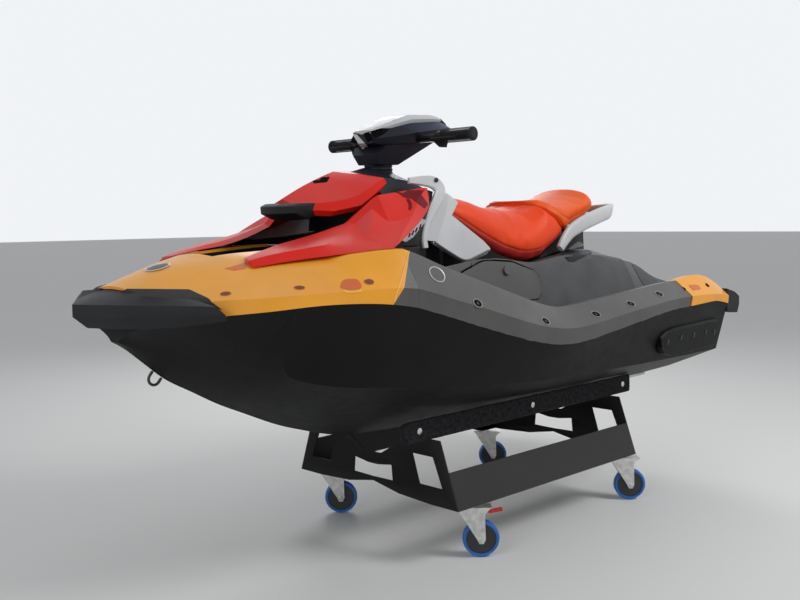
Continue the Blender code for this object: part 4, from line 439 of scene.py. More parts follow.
def tree_of(*names):
    """One search tree over the dressed surfaces of several nodes or added pieces."""
    points, faces = [], []
    for name in names:
        if name in NODES:
            mesh = SKINS.get(name, NODES[name]).evaluated_get(GRAPH).to_mesh()
        else:
            mesh = bpy.data.objects[name].data
        start = len(points)
        points += [v.co.copy() for v in mesh.vertices]
        faces += [[start + i for i in p.vertices] for p in mesh.polygons]
    return BVHTree.FromPolygons(points, faces)


def pixel_ray(point):
    u, v = point
    camera = SCENE.camera
    turn = camera.rotation_euler.to_matrix()
    share = SENSOR / camera.data.lens / PHOTO_WIDE
    aim = turn @ Vector(((u - PHOTO_WIDE / 2) * share, (PHOTO_HIGH / 2 - v) * share, -1))
    return camera.location.copy(), aim.normalized()


def side_ray(point):
    return Vector((point[0], 1.2, point[1])), Vector((0, -1, 0))


def top_ray(point):
    return Vector((point[0], point[1], 1.9)), Vector((0, 0, -1))


def land(tree, ray, point):
    """Where a ray meets a surface, or, when it misses, the surface's nearest place to it."""
    place, aim = ray(point)
    hit, normal, _, _ = tree.ray_cast(place, aim)
    if hit is None:
        best = None
        for step in range(30):
            probe = place + aim * (1.0 + step * 0.15)
            near, normal_near, _, gap = tree.find_nearest(probe)
            if best is None or gap < best[0]:
                best = (gap, near, normal_near)
        hit, normal = best[1], best[2]
    if normal.dot(aim) > 0:
        normal = -normal
    return hit, normal


CORNER_STEPS = 4


def smooth_outline(corners, radius):
    """Rounds the corners of a 2-D outline."""
    points = []
    count = len(corners)
    for k in range(count):
        before, here, after = (Vector(corners[(k + d) % count]) for d in (-1, 0, 1))
        a, b = before - here, after - here
        cut = min(radius, a.length * 0.45, b.length * 0.45)
        start, end = here + a.normalized() * cut, here + b.normalized() * cut
        for s in range(CORNER_STEPS + 1):
            t = s / CORNER_STEPS
            points.append((start * (1 - t) + here * t) * (1 - t) + (here * (1 - t) + end * t) * t)
    return points


def plate_mesh(outline, step, place, lift, sink):
    """A thin closed plate over an outline, cut into a grid and laid on a surface."""
    flat = bmesh.new()
    flat.faces.new([flat.verts.new((p[0], p[1], 0)) for p in outline])
    for axis in (0, 1):
        values = [p[axis] for p in outline]
        lines = int((max(values) - min(values)) / step)
        for k in range(1, lines + 1):
            spot, normal = [0, 0, 0], [0, 0, 0]
            spot[axis] = min(values) + k * step
            normal[axis] = 1
            cut_along(flat, (spot, normal), 1e-6)
    bm = bmesh.new()
    top, low = {}, {}
    for vert in flat.verts:
        hit, normal = place(vert.co.xy)
        top[vert] = bm.verts.new(hit + normal * lift)
        low[vert] = bm.verts.new(hit - normal * sink)
    for face in flat.faces:
        bm.faces.new([top[v] for v in face.verts])
        bm.faces.new([low[v] for v in reversed(face.verts)])
    for edge in flat.edges:
        if len(edge.link_faces) == 1:
            a, b = edge.verts
            bm.faces.new([top[a], top[b], low[b], low[a]])
    flat.free()
    return bm


def mirrored(bm):
    copy = bm.copy()
    for vert in copy.verts:
        vert.co.y = -vert.co.y
    return copy


def on_sides(name, bm, paint, body="craft", both=True):
    """Adds a port piece and its starboard mirror, or one piece under the bare name."""
    if both:
        add(f"{name}_starboard", mirrored(bm), paint, body)
        name = f"{name}_port"
    add(name, bm, paint, body)


def inlay(name, nodes, outline, paint, body="craft", ray=pixel_ray, both=True, step=None,
          lift=0.0008, sink=0.0006, rounding=0.0):
    """Lays an outline, given in the ray's own terms, on the surfaces of nodes or pieces."""
    if rounding:
        outline = smooth_outline(outline, rounding)
    tree = tree_of(*nodes)
    step = step or (3.0 if ray is pixel_ray else 0.012)
    bm = plate_mesh(outline, step, lambda p: land(tree, ray, p), lift, sink)
    on_sides(name, bm, paint, body, both)


# Enlarged parts of the photo in which outlines were read: the left top corner and the scale
FAIRING_CROP = (255, 150), 6.97
HEAD_CROP = (320, 105), 9.22
KNEE_CROP = (395, 170), 6.03


def from_crop(points, crop):
    origin, scale = crop
    return [(origin[0] + x / scale, origin[1] + y / scale) for x, y in points]


def joined(bm, rings, closed=False):
    """Faces from ring to ring, and over both ends unless the rings close up."""
    pairs = list(zip(rings, rings[1:]))
    if closed:
        pairs.append((rings[-1], rings[0]))
    for low, top in pairs:
        for n in range(len(low)):
            m = (n + 1) % len(low)
            bm.faces.new([low[n], low[m], top[m], top[n]])
    if not closed:
        bm.faces.new(rings[0][::-1])
        bm.faces.new(rings[-1])


def heading(path, k, closed=False):
    """The direction of a path at one of its points."""
    last = len(path) - 1
    if closed:
        return (path[(k + 1) % (last + 1)] - path[k - 1]).normalized()
    return (path[min(k + 1, last)] - path[max(k - 1, 0)]).normalized()


def slab(name, outline, plane, low, high, paint, body="craft"):
    """A flat piece between two heights over a plane, its outline given in pixels."""
    spot, normal = plane
    bm = bmesh.new()
    top = []
    for point in outline:
        place, aim = pixel_ray(point)
        reach = (spot + normal * high - place).dot(normal) / aim.dot(normal)
        top.append(bm.verts.new(place + aim * reach))
    joined(bm, [[bm.verts.new(v.co - normal * (high - low)) for v in top], top])
    on_sides(name, bm, paint, body)


def axes_of(normal):
    out = Vector(normal).normalized()
    across = Vector((0, 0, 1)).cross(out)
    if across.length < 0.05:
        across = Vector((0, 1, 0)).cross(out)
    across.normalize()
    return across, out.cross(across), out


def turned(bm, place, normal, profile, steps=24, stretch=(1, 1)):
    """A form turned about the normal; its profile is radii and heights, ends on the axis at 0."""
    across, high, out = axes_of(normal)
    rings = []
    for radius, height in profile:
        if radius < 1e-6:
            rings.append([bm.verts.new(place + out * height)])
            continue
        ring = []
        for k in range(steps):
            a = 2 * pi * k / steps
            shift = across * (cos(a) * radius * stretch[0]) + high * (sin(a) * radius * stretch[1])
            ring.append(bm.verts.new(place + shift + out * height))
        rings.append(ring)
    for low, top in zip(rings, rings[1:]):
        for k in range(steps):
            n = (k + 1) % steps
            if len(low) == 1:
                bm.faces.new([low[0], top[n], top[k]])
            elif len(top) == 1:
                bm.faces.new([low[k], low[n], top[0]])
            else:
                bm.faces.new([low[k], low[n], top[n], top[k]])


def screw(bm, place, normal, radius, proud):
    """A pan head with a hexagon socket."""
    turned(bm, place, normal, [(0, -0.001), (radius, -0.001), (radius, proud * 0.4),
                               (radius * 0.86, proud * 0.85), (radius * 0.62, proud)], 20)
    turned(bm, place, normal, [(radius * 0.62, proud), (radius * 0.5, proud),
                               (radius * 0.46, proud * 0.25), (0, proud * 0.25)], 6)


def studs(tree, ray, spots, *layers, lift=0.0, both=True):
    """Turned forms at the spots; a layer is a name, a paint, steps, a stretch and a profile."""
    for name, paint, steps, stretch, profile in layers:
        bm = bmesh.new()
        for spot in spots:
            hit, normal = land(tree, ray, spot)
            turned(bm, hit + normal * lift, normal, profile, steps, stretch)
        on_sides(name, bm, paint, both=both)


def tube(bm, points, radius, steps, closed=False):
    points = [Vector(p) for p in points]
    count = len(points)
    rings = []
    turn = None
    for k in range(count):
        ahead = heading(points, k, closed)
        if turn is None:
            turn = ahead.orthogonal().normalized()
        turn = (turn - ahead * turn.dot(ahead)).normalized()
        other = ahead.cross(turn)
        size = radius(k / max(1, count - 1)) if callable(radius) else radius
        rings.append([bm.verts.new(points[k] + (turn * cos(a) + other * sin(a)) * size)
                      for a in (2 * pi * s / steps for s in range(steps))])
    joined(bm, rings, closed)


def bead(name, points, radius, steps, paint, closed=False):
    """A thin round line along the points, on both sides of the craft."""
    bm = bmesh.new()
    tube(bm, points, radius, steps, closed)
    on_sides(name, bm, paint)


def landed(tree, points):
    """The places where the camera's rays through pixels meet a surface."""
    return [land(tree, pixel_ray, point)[0] for point in points]


# Seat: two upholstered cushions, blown up as cloth and eased, with a groove, a lower band and
# stitches

SHRINK = 0.004
PUFF_CAP = 0.007
PRESSURE = 4
CLOTH_FRAMES = 14
VOXEL, VOXEL_QUICK, VOXEL_BUNK = 0.006, 0.012, 0.005
EASE_BEFORE, EASE_AFTER = 7, 10


def ease(bm, times):
    for _ in range(times):
        bmesh.ops.smooth_vert(bm, verts=bm.verts, factor=0.5, use_axis_x=True, use_axis_y=True,
                              use_axis_z=True)


def remeshed(node_name, voxel):
    """A work object with the node's closed form as one even mesh."""
    work = placed("work", NODES[node_name].evaluated_get(GRAPH).to_mesh().copy())
    remesh = work.modifiers.new("remesh", "REMESH")
    remesh.mode = "VOXEL"
    remesh.voxel_size = voxel
    bpy.context.view_layer.update()
    graph = bpy.context.evaluated_depsgraph_get()
    done = bpy.data.meshes.new_from_object(work.evaluated_get(graph))
    work.modifiers.clear()
    work.data = done
    return work


def puffed(node_name):
    """The cushion's closed form, shrunk and then blown up as cloth."""
    work = remeshed(node_name, VOXEL)
    done = work.data
    bm = bmesh.new()
    bm.from_mesh(done)
    ease(bm, EASE_BEFORE)
    bm.normal_update()
    moved = [v.co - v.normal * SHRINK for v in bm.verts]
    for vert, place in zip(bm.verts, moved):
        vert.co = place
    bm.to_mesh(done)
    bm.free()
    before = [v.co.copy() for v in done.vertices]
    cloth = work.modifiers.new("cloth", "CLOTH")
    cloth.settings.use_pressure = True
    cloth.settings.uniform_pressure_force = PRESSURE
    cloth.settings.effector_weights.gravity = 0
    cloth.settings.quality = 4
    for number in range(1, CLOTH_FRAMES + 1):
        SCENE.frame_set(number)
    result = work.evaluated_get(bpy.context.evaluated_depsgraph_get()).to_mesh()
    after = [v.co.copy() for v in result.vertices]
    work.modifiers.clear()
    SCENE.frame_set(1)
    for vert, start, end in zip(done.vertices, before, after):
        move = end - start
        if move.length > PUFF_CAP:
            move = move.normalized() * PUFF_CAP
        vert.co = start + move
    bm = bmesh.new()
    bm.from_mesh(done)
    ease(bm, EASE_AFTER)
    bm.to_mesh(done)
    bm.free()
    bpy.data.objects.remove(work)
    return done


def foot_of(tree, x):
    """The height of a cushion's lower side at x."""
    hits = [tree.ray_cast(Vector((x, y, 0.7)), Vector((0, 0, 1)))[0] for y in (0.08, 0.12, 0.15)]
    hits = [h.z for h in hits if h is not None]
    return min(hits) if hits else None


# How high the photograph shows the seat along its middle: a saddle, a low hump and a tall tail
SEAT_TOP = [(-1.2, 1.3), (-0.96, 1.3), (-0.915, 1.275), (-0.805, 1.249), (-0.758, 1.224),
            (-0.7, 1.207), (-0.643, 1.2), (-0.577, 1.2), (-0.47, 1.186), (-0.387, 1.16),
            (-0.3, 1.168), (-0.2, 1.195), (-0.1, 1.3), (0.3, 1.3)]


def seat_top(x):
    for (x_a, z_a), (x_b, z_b) in zip(SEAT_TOP, SEAT_TOP[1:]):
        if x <= x_b:
            return z_a + (z_b - z_a) * (x - x_a) / (x_b - x_a)
    return SEAT_TOP[-1][1]


BAND = 0.04
GROOVE_DEPTH = 0.0028
GROOVE_HALF = 0.0045
STATIONS = 60
STITCH_PITCH = 0.0075
STITCH_LENGTH = 0.0045
STITCH_ABOVE = 0.008


def dress_cushion(name, node_name, x_low, x_high, paint, banded):
    bm = bmesh.new()
    bm.from_mesh(puffed(node_name))
    bmesh.ops.subdivide_edges(bm, edges=bm.edges, cuts=1, use_grid_fill=True, smooth=0.0)
    ease(bm, 1)
    bm.normal_update()
    tree = BVHTree.FromBMesh(bm)
    stations = [x_low + (x_high - x_low) * k / STATIONS for k in range(STATIONS + 1)]
    feet = [foot_of(tree, x) for x in stations]
    known = [f for f in feet if f is not None]
    feet = [known[0] if f is None else f for f in feet]

    def foot(x):
        t = max(0.0, min(STATIONS - 0.001, (x - x_low) / (x_high - x_low) * STATIONS))
        k = int(t)
        return feet[k] * (1 - (t - k)) + feet[k + 1] * (t - k)

    for vert in bm.verts:
        x, low = vert.co.x, foot(vert.co.x) + BAND * 1.3
        hit = tree.ray_cast(Vector((x, 0, 1.9)), Vector((0, 0, -1)))[0]
        if hit is None or hit.z <= seat_top(x) or vert.co.z <= low:
            continue
        share = min(1.0, (vert.co.z - low) / (hit.z - low))
        vert.co.z -= (hit.z - seat_top(x)) * share * share * (3 - 2 * share)
    for _ in range(3):
        bmesh.ops.smooth_vert(bm, verts=bm.verts, factor=0.5, use_axis_z=True)
    bm.normal_update()
    tree = BVHTree.FromBMesh(bm)
    for vert in bm.verts:
        off = vert.co.z - foot(vert.co.x) - BAND
        if abs(off) < GROOVE_HALF * 2.5 and abs(vert.normal.z) < 0.8:
            vert.co -= vert.normal * GROOVE_DEPTH * pow(2.718, -(off / GROOVE_HALF) ** 2)
    for face in bm.faces:
        centre = face.calc_center_median()
        face.smooth = True
        low = centre.z - foot(centre.x) < BAND and abs(face.normal.y) > 0.4
        face.material_index = 1 if banded and low else 0
    made = bpy.data.meshes.new(name)
    bm.to_mesh(made)
    bm.free()
    made.materials.append(M[paint])
    made.materials.append(M["seat_band"])
    piece = placed(name, made)
    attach(piece, "craft")
    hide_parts(node_name)
    stitches = bmesh.new()
    for side in (1, -1):
        x = x_low + 0.03
        while x < x_high - 0.03:
            ends = []
            for px in (x, x + STITCH_LENGTH):
                spot = Vector((px, 0.5 * side, foot(px) + BAND + STITCH_ABOVE))
                hit, normal, _, _ = tree.ray_cast(spot, Vector((0, -side, 0)))
                if hit is not None:
                    if normal.y * side < 0:
                        normal = -normal
                    ends.append(hit + normal * 0.0003)
            if len(ends) == 2 and abs(ends[0].y) > 0.09 and (ends[0] - ends[1]).length < 0.012:
                middle = (ends[0] + ends[1]) / 2
                tube(stitches, [ends[0], middle, ends[1]],
                     lambda t: 0.00055 if 0 < t < 1 else 0.0003, 5)
            x += STITCH_PITCH
    add(f"{name}_stitches", stitches, "thread", "craft")


dress_cushion("cushion_front", "seat_front", -0.58, 0.1, "seat_vinyl", True)
# The rear cushion takes the lighter, more orange vinyl as painted sunlight on it
dress_cushion("cushion_rear", "seat_rear", -0.85, -0.5, "seat_vinyl_sunlit", False)

# Bunks: a carpet wrapped round each board


def dress_bunk(side):
    work = remeshed(f"bunk_{side}", VOXEL_BUNK)
    bm = bmesh.new()
    bm.from_mesh(work.data)
    bpy.data.objects.remove(work)
    ease(bm, 2)
    bm.normal_update()
    for vert in bm.verts:
        p = vert.co
        rough = noise.noise(p * 90) * 0.0006 + noise.noise(p * 24) * 0.0007
        vert.co = p + vert.normal * (rough - 0.0012)
    for face in bm.faces:
        face.smooth = True
    piece_mesh = bpy.data.meshes.new(f"bunk_carpet_{side}")
    bm.to_mesh(piece_mesh)
    bm.free()
    piece_mesh.materials.append(M["carpet"])
    piece = placed(f"bunk_carpet_{side}", piece_mesh)
    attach(piece, "craft")
    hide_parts(f"bunk_{side}")


for bunk_side in ("port", "starboard"):
    dress_bunk(bunk_side)

# Gunwale: recessed fastenings in a row, each a light rim of painted highlight round a flat cup of
# painted shade, and the joint line above the hull

SIDE_HOLES = [(0.37, 0.875), (0.045, 0.794), (-0.254, 0.793), (-0.478, 0.813), (-0.696, 0.834)]
gunwale_tree = tree_of("gunwale_port")
studs(gunwale_tree, side_ray, SIDE_HOLES,
      ("gunwale_rim_highlight", "rim_highlight_grey", 28, (1.25, 0.95),
       [(0.0165, -0.001), (0.018, 0.0006), (0.0172, 0.002), (0.0152, 0.0022), (0.0136, 0.0006)]),
      ("gunwale_cup_shade", "shade_and_joint_black", 28, (1.25, 0.95),
       [(0, 0.0006), (0.015, 0.0006), (0.015, -0.0006), (0, -0.0006)]))
heads = bmesh.new()
for spot in SIDE_HOLES:
    hit, normal = land(gunwale_tree, side_ray, spot)
    screw(heads, hit + normal * 0.0007, normal, 0.006, 0.0012)
on_sides("gunwale_screws", heads, "black_screw")

edge_line = []
for k in range(74):
    x = -0.885 + 0.0199 * k
    for step in range(110):
        z = 0.69 + 0.0025 * step
        hit, normal, _, _ = gunwale_tree.ray_cast(Vector((x, 1.0, z)), Vector((0, -1, 0)))
        if hit is not None:
            edge_line.append(hit + Vector((0, -0.0006, -0.0006)))
            break
bead("gunwale_edge", edge_line, 0.0012, 6, "grey_satin")

# Nose panel: fastenings whose rims and cups are painted shade, the lidded recess as a flat patch of
# painted shade with a painted highlight along its lower lip, the fold as a patch of painted shade,
# the black field on top, and the lip at its rear edge, coloured as a painted highlight

nose_tree = tree_of("nose_panel")
studs(nose_tree, pixel_ray, ((225.6, 293.9), (299.5, 287.8), (369.0, 281.8)),
      ("nose_rim_shade", "orange_shaded", 24, (1.2, 0.9),
       [(0.0125, -0.001), (0.0136, 0.0004), (0.0128, 0.0014), (0.0112, 0.0006)]),
      ("nose_cup_shade", "orange_hole_shade", 24, (1.2, 0.9),
       [(0, 0.0007), (0.0116, 0.0007), (0.0116, -0.0006), (0, -0.0006)]))
inlay("nose_recess_shade", ["nose_panel"],
      [(340, 288), (341, 282), (346, 279), (357, 279), (362, 285), (361, 289), (350, 290.5)],
      "orange_shaded", rounding=2.0)

inlay("bumper_top", ["nose_panel"],
      [(101, 292.0), (114.6, 290.2), (150, 290.4), (189.5, 290.8), (207.6, 299.2), (222, 309.5),
       (204, 306.5), (176, 302.5), (146, 300), (118, 297)], "charcoal_rubber", step=2.0,
      lift=0.005, sink=0.0015, rounding=1.5)
inlay("recess_lip_highlight", ["nose_panel"],
      [(344, 290.6), (352, 291.4), (362, 289.8), (361.4, 291.6), (352, 293.2), (345, 292.2)],
      "orange_highlight", step=1.5, lift=0.0016)
inlay("nose_fold_shade", ["nose_panel"], [(225, 268.6), (246, 262.6), (246, 268.6), (234, 270.6)],
      "orange_shaded", lift=0.001)
lip_line = landed(tree_of("nose_panel", "gunwale_port"),
                  [(409 - 14.5 * k / 12, 251.5 + 50.5 * k / 12) for k in range(13)])
bead("nose_rear_lip_highlight", lip_line, 0.0024, 8, "orange_highlight")

# Hood: the dark slot on its crown, a flat patch of painted shade

inlay("hood_slot_shade", ["hood"], [(312.5, 181.5), (316, 177.5), (330, 177), (327, 182), (314, 183.5)],
      "shade_and_joint_black", "hood", both=False, rounding=1.2)

# Corner caps: fastenings as dark cups of painted shade, and a recess as a flat patch of painted
# shade

inlay("cap_recess_shade", ["corner_cap_port"],
      [(688.2, 285.4), (694, 284.6), (698.2, 285.2), (701.2, 289.0), (698.5, 290.0),
       (693.2, 290.4)], "orange_shaded", rounding=0.8, lift=0.001)
studs(tree_of("corner_cap_port"), pixel_ray, ((682.8, 289.8), (707.3, 285.2)),
      ("cap_screw_shade", "shade_and_joint_black", 24, (1.15, 0.85),
       [(0, -0.0006), (0.0115, -0.0006), (0.0125, 0.0008), (0.0105, 0.0014), (0.0095, 0.0002),
        (0, 0.0002)]))

# Deck: mats in the footwells and on the rear platform; the gauge's screen; the deck's patches

inlay("rear_mat", ["deck"], [(-1.255, -0.36), (-0.925, -0.36), (-0.925, 0.36), (-1.255, 0.36)],
      "mat_rubber", both=False, lift=0.0022, rounding=0.04, ray=top_ray)
inlay("footwell_mat", ["deck"],
      [(-0.86, 0.275), (-0.2, 0.275), (0.1, 0.275), (0.1, 0.395), (-0.86, 0.395)],
      "mat_rubber", lift=0.0022, rounding=0.03, ray=top_ray)
inlay("gauge_screen", ["gauge"],
      [(-0.033, -0.044), (-0.006, -0.046), (-0.006, 0.046), (-0.033, 0.044)], "screen",
      "steering", both=False, lift=0.001, rounding=0.006, ray=top_ray)

inlay("hump_panel", ["deck"],
      [(562, 253.6), (569, 251.0), (589, 251.0), (592, 253.2), (574, 261.6), (569, 261.6)],
      "navy_gloss", rounding=1.0, lift=0.0036, step=1.5)
inlay("pedestal_patch", ["pedestal"], [(568, 249.0), (577.5, 241.4), (586, 245.0), (572, 249.2)],
      "grey_satin", rounding=0.8, lift=0.0014)

# Access panels: the dark joint round each

panel = NODES["access_panel_port"].data
panel_points = [Vector((v.co.x, v.co.z)) for v in panel.vertices]
panel_middle = sum(panel_points, Vector((0, 0))) / len(panel_points)
joint_line = []
deck_tree = tree_of("deck")
for k in convex_hull_2d(panel_points):
    reach = panel_points[k] - panel_middle
    spot = panel_middle + reach * (1 + 0.004 / reach.length)
    joint_line.append(land(deck_tree, side_ray, (spot.x, spot.y))[0])
bead("panel_joint", joint_line, 0.0032, 6, "shade_and_joint_black", closed=True)

# Steering head: dark recess as a flat patch of painted shade, and light slab under the cover, the
# levers' perches, and the grips' end flanges and ribs

inlay("head_recess_shade", ["head_cover", "head_cheeks"],
      from_crop([(398, 262), (560, 214), (648, 214), (596, 262), (440, 348), (418, 306)],
                HEAD_CROP), "shade_and_joint_black", "steering", rounding=0.8, step=1.5)
inlay("head_slab", ["head_cheeks", "head_cover", "steering_neck"],
      from_crop([(305, 270), (342, 270), (440, 380), (392, 408)], HEAD_CROP), "light_grey",
      "steering", both=False, step=1.5, lift=0.003)
slab("lever_perch", from_crop([(985, 285), (1090, 280), (1158, 285), (1135, 390), (1098, 388),
                               (1045, 338)], HEAD_CROP),
     (Vector((0.16, 0.19, 1.395)), Vector((1, 0, 0))), -0.01, 0.008, "grip_rubber", "steering")
flanges = bmesh.new()
turned(flanges, Vector((0.156, 0.349, 1.408)), (0, 1, 0),
       [(0.01, -0.004), (0.0205, -0.004), (0.0222, -0.001), (0.0222, 0.004), (0.0195, 0.007),
        (0.01, 0.007)], 28)
on_sides("grip_flanges", flanges, "grip_rubber", "steering")

GRIP_SPAN = (0.222, 0.352)
GRIP_PLACE = (0.156, 1.408)
GRIP_RIBS = 15
ribs = bmesh.new()
for k in range(GRIP_RIBS):
    y = GRIP_SPAN[0] + (GRIP_SPAN[1] - GRIP_SPAN[0]) * k / (GRIP_RIBS - 1)
    turned(ribs, Vector((GRIP_PLACE[0], y, GRIP_PLACE[1])), (0, 1, 0),
           [(0.0222, -0.002), (0.0236, -0.001), (0.0236, 0.001), (0.0222, 0.002)], 32)
on_sides("grip_ribs", ribs, "grip_rubber", "steering")

# Trolley: the nut and the bolt's head of each axle

for end, side in ENDS:
    roll = JOINTS[f"roll_{end}_{side}"]
    place, axle = Vector(roll["pos_m"]), Vector(roll["axis"]).normalized()
    fork_tree = tree_of(f"fork_{end}_{side}")
    for sign, label in ((1, "nut"), (-1, "bolt")):
        hit, normal, _, _ = fork_tree.ray_cast(place + axle * sign * 0.12, axle * -sign)
        if hit is None:
            continue
        bm = bmesh.new()
        turned(bm, hit, axle * sign, [(0, -0.0008), (0.0088, -0.0008), (0.0088, 0.0005),
                                      (0.0076, 0.0011)], 24)
        turned(bm, hit, axle * sign, [(0.0072, 0.0011), (0.0072, 0.006), (0.0062, 0.0068),
                                      (0.0036, 0.0068), (0.0036, 0.0088), (0, 0.0092)], 6)
        add(f"axle_{label}_{end}_{side}", bm, "zinc_steel", f"fork_{end}_{side}")

# Blades and plates: swept straps and shells between two edges


def smooth_path(points, cuts):
    """Catmull-Rom curve through the points."""
    points = [Vector(p) for p in points]
    padded = [points[0] * 2 - points[1], *points, points[-1] * 2 - points[-2]]
    curve = []
    for a, b, c, d in zip(padded, padded[1:], padded[2:], padded[3:]):
        for k in range(cuts):
            t = k / cuts
            curve.append(((b * 2) + (c - a) * t + (a * 2 - b * 5 + c * 4 - d) * t**2
                          + (b * 3 - a - c * 3 + d) * t**3) * 0.5)
    curve.append(points[-1])
    return curve


def blade(bm, path, high_dir, half_high, half_thick, steps=16):
    """A strap of rounded section: half_high(t) along high_dir, half_thick across it."""
    rings = []
    for k, point in enumerate(path):
        along = heading(path, k)
        high = (Vector(high_dir) - along * along.dot(Vector(high_dir))).normalized()
        side = along.cross(high).normalized()
        t = k / (len(path) - 1)
        ring = []
        for n in range(steps):
            a = 2 * pi * n / steps
            u = abs(cos(a)) ** 0.6 * (1 if cos(a) > 0 else -1)
            v = abs(sin(a)) ** 0.6 * (1 if sin(a) > 0 else -1)
            ring.append(bm.verts.new(point + high * u * half_high(t) + side * v * half_thick))
        rings.append(ring)
    joined(bm, rings)


def rim_of(grid):
    """The points round a grid's border."""
    return (grid[0] + [row[-1] for row in grid[1:]] + grid[-1][-2::-1]
            + [row[0] for row in grid[-2:0:-1]])


def shell(edges, thick, out=(0, 1, 0)):
    """A closed shell through edge lines of equal point counts, smoothed along each line."""
    bm = bmesh.new()
    lines = [smooth_path(edge, 6) for edge in edges]
    out = Vector(out).normalized() * thick
    grids = []
    for shift in (Vector((0, 0, 0)), out):
        grids.append([[bm.verts.new(p - shift) for p in line] for line in lines])
    for layer, grid in enumerate(grids):
        for a, b in zip(grid, grid[1:]):
            for k in range(len(a) - 1):
                face = [a[k], a[k + 1], b[k + 1], b[k]]
                bm.faces.new(face if layer == 0 else face[::-1])
    front, back = (rim_of(grid) for grid in grids)
    for k in range(len(front)):
        n = (k + 1) % len(front)
        bm.faces.new([front[k], front[n], back[n], back[k]])
    return bm


def pair(name, bm, paint, width, node=None):
    """A port piece and its starboard mirror, both edge-rounded, each hiding a CAD node when one is
    named.
    """
    for side, mesh in (("starboard", mirrored(bm)), ("port", bm)):
        piece = add(f"{name}_{side}", mesh, paint, "craft")
        rounded(piece, width)
        if node:
            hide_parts(f"{node}_{side}")


# Fairing tail: the red skin's rear corner, the black inner side and its louvred plate

TAIL_FRONT = [(0.276, 0.243, 1.2335), (0.35, 0.288, 1.186), (0.424, 0.33, 1.139),
              (0.522, 0.392, 1.094), (0.618, 0.452, 1.051)]
TAIL_REAR = [(0.262, 0.243, 1.233), (0.29, 0.278, 1.176), (0.366, 0.322, 1.134),
             (0.5, 0.392, 1.085), (0.612, 0.45, 1.052)]
pair("fairing_tail", shell([TAIL_FRONT, TAIL_REAR], 0.006, (0.35, 0.9, 0.3)), "red_gloss", 0.001)

for name, rounding, outline in (
        ("fairing_graphic", 0.0,
         [(940, 286), (1040, 270), (1190, 262), (1158, 312), (1205, 380), (1182, 408), (1136, 372),
          (1086, 336), (1040, 330), (995, 300)]),
        ("fairing_hook", 1.5,
         [(1052, 342), (1072, 338), (1092, 372), (1094, 408), (1082, 420), (1068, 416),
          (1072, 380)])):
    inlay(name, ["fairing_port", "fairing_tail_port"], from_crop(outline, FAIRING_CROP), "dark_red",
          rounding=rounding, lift=0.0016)

INFILL_TOP = [(x, y - 0.007, z - 0.002) for x, y, z in TAIL_REAR]
KNEE_EDGE = [(0.212, 0.222, 1.222), (0.232, 0.229, 1.178), (0.258, 0.236, 1.128),
             (0.286, 0.246, 1.08), (0.3, 0.252, 1.045)]
middle = [tuple((a + b) / 2 - (0.004 if n == 1 else 0) for n, (a, b) in enumerate(zip(p, q)))
          for p, q in zip(INFILL_TOP, KNEE_EDGE)]
infill = shell([INFILL_TOP, middle, KNEE_EDGE], 0.006, (0.3, 0.9, 0.3))
pair("side_infill", infill, "black_shell", 0.001)
floor_tree = tree_of("deck", "gunwale_port", "front_deck", "nose_panel")
low_line = []
TOP_LINE = [(0.606, 0.438, 1.052), (0.5, 0.385, 1.046), (0.39, 0.315, 1.044),
            (0.3, 0.252, 1.046), (0.262, 0.235, 1.046)]
for x, y, z in TOP_LINE:
    hit = floor_tree.ray_cast(Vector((x, y, z)), Vector((0, 0, -1)))[0]
    low_line.append((x, y - 0.002, (hit.z - 0.004) if hit is not None else z - 0.05))
pair("side_skirt", shell([TOP_LINE, low_line], 0.006), "black_shell", 0.001)

PLATE = from_crop(
    [(1160, 478), (1197, 490), (1186, 545), (1098, 612), (1050, 642), (1036, 634), (1098, 560)],
    FAIRING_CROP)
infill_tree = tree_of("side_infill_port")
plate_spots = landed(infill_tree, [PLATE[n] for n in (1, 4, 6)])
plate_normal = (plate_spots[1] - plate_spots[0]).cross(plate_spots[2] - plate_spots[0]).normalized()
if plate_normal.y < 0:
    plate_normal = -plate_normal
PLATE_PLANE = (plate_spots[0], plate_normal)
slab("louvre_plate", PLATE, PLATE_PLANE, -0.01, 0.003, "light_grey")
# The slits are dark slabs on the plate: painted shade in the openings
SLITS = [[(1153, 516), (1161, 519), (1150, 556), (1143, 551)],
         [(1128, 538), (1136, 543), (1122, 577), (1114, 571)],
         [(1103, 558), (1111, 563), (1098, 596), (1090, 590)],
         [(1079, 578), (1087, 583), (1075, 610), (1067, 605)]]
for k, slit in enumerate(SLITS):
    slab(f"louvre_slit_{k + 1}", from_crop(slit, FAIRING_CROP), PLATE_PLANE, 0.0025, 0.0034,
         "shade_and_joint_black")

# Shoulder strip: a flat light band over the shoulder and down the knee panel's front edge

BAND_LINE = [(0.318, 1.257, 0.213), (0.262, 1.257, 0.219), (0.213, 1.251, 0.226),
             (0.186, 1.226, 0.231), (0.208, 1.19, 0.236), (0.24, 1.155, 0.241),
             (0.272, 1.112, 0.248), (0.291, 1.07, 0.255), (0.292, 1.036, 0.26)]


def band_piece():
    path = smooth_path([(x, y, z) for x, z, y in BAND_LINE], 7)
    bm = bmesh.new()
    rings = []
    for k, point in enumerate(path):
        along = heading(path, k)
        out = Vector((0, 1, 0)) - along * along.y
        out.normalize()
        wide = along.cross(out).normalized()
        t = k / (len(path) - 1)
        half = 0.01 + 0.012 * sin(pi * min(1, t * 1.35)) + 0.003 * t
        ring = []
        for a, b in ((-1, -1), (-1, 0.3), (-0.72, 1), (0.72, 1), (1, 0.3), (1, -1)):
            ring.append(bm.verts.new(point + wide * a * half + out * b * 0.0055))
        rings.append(ring)
    joined(bm, rings)
    return bm


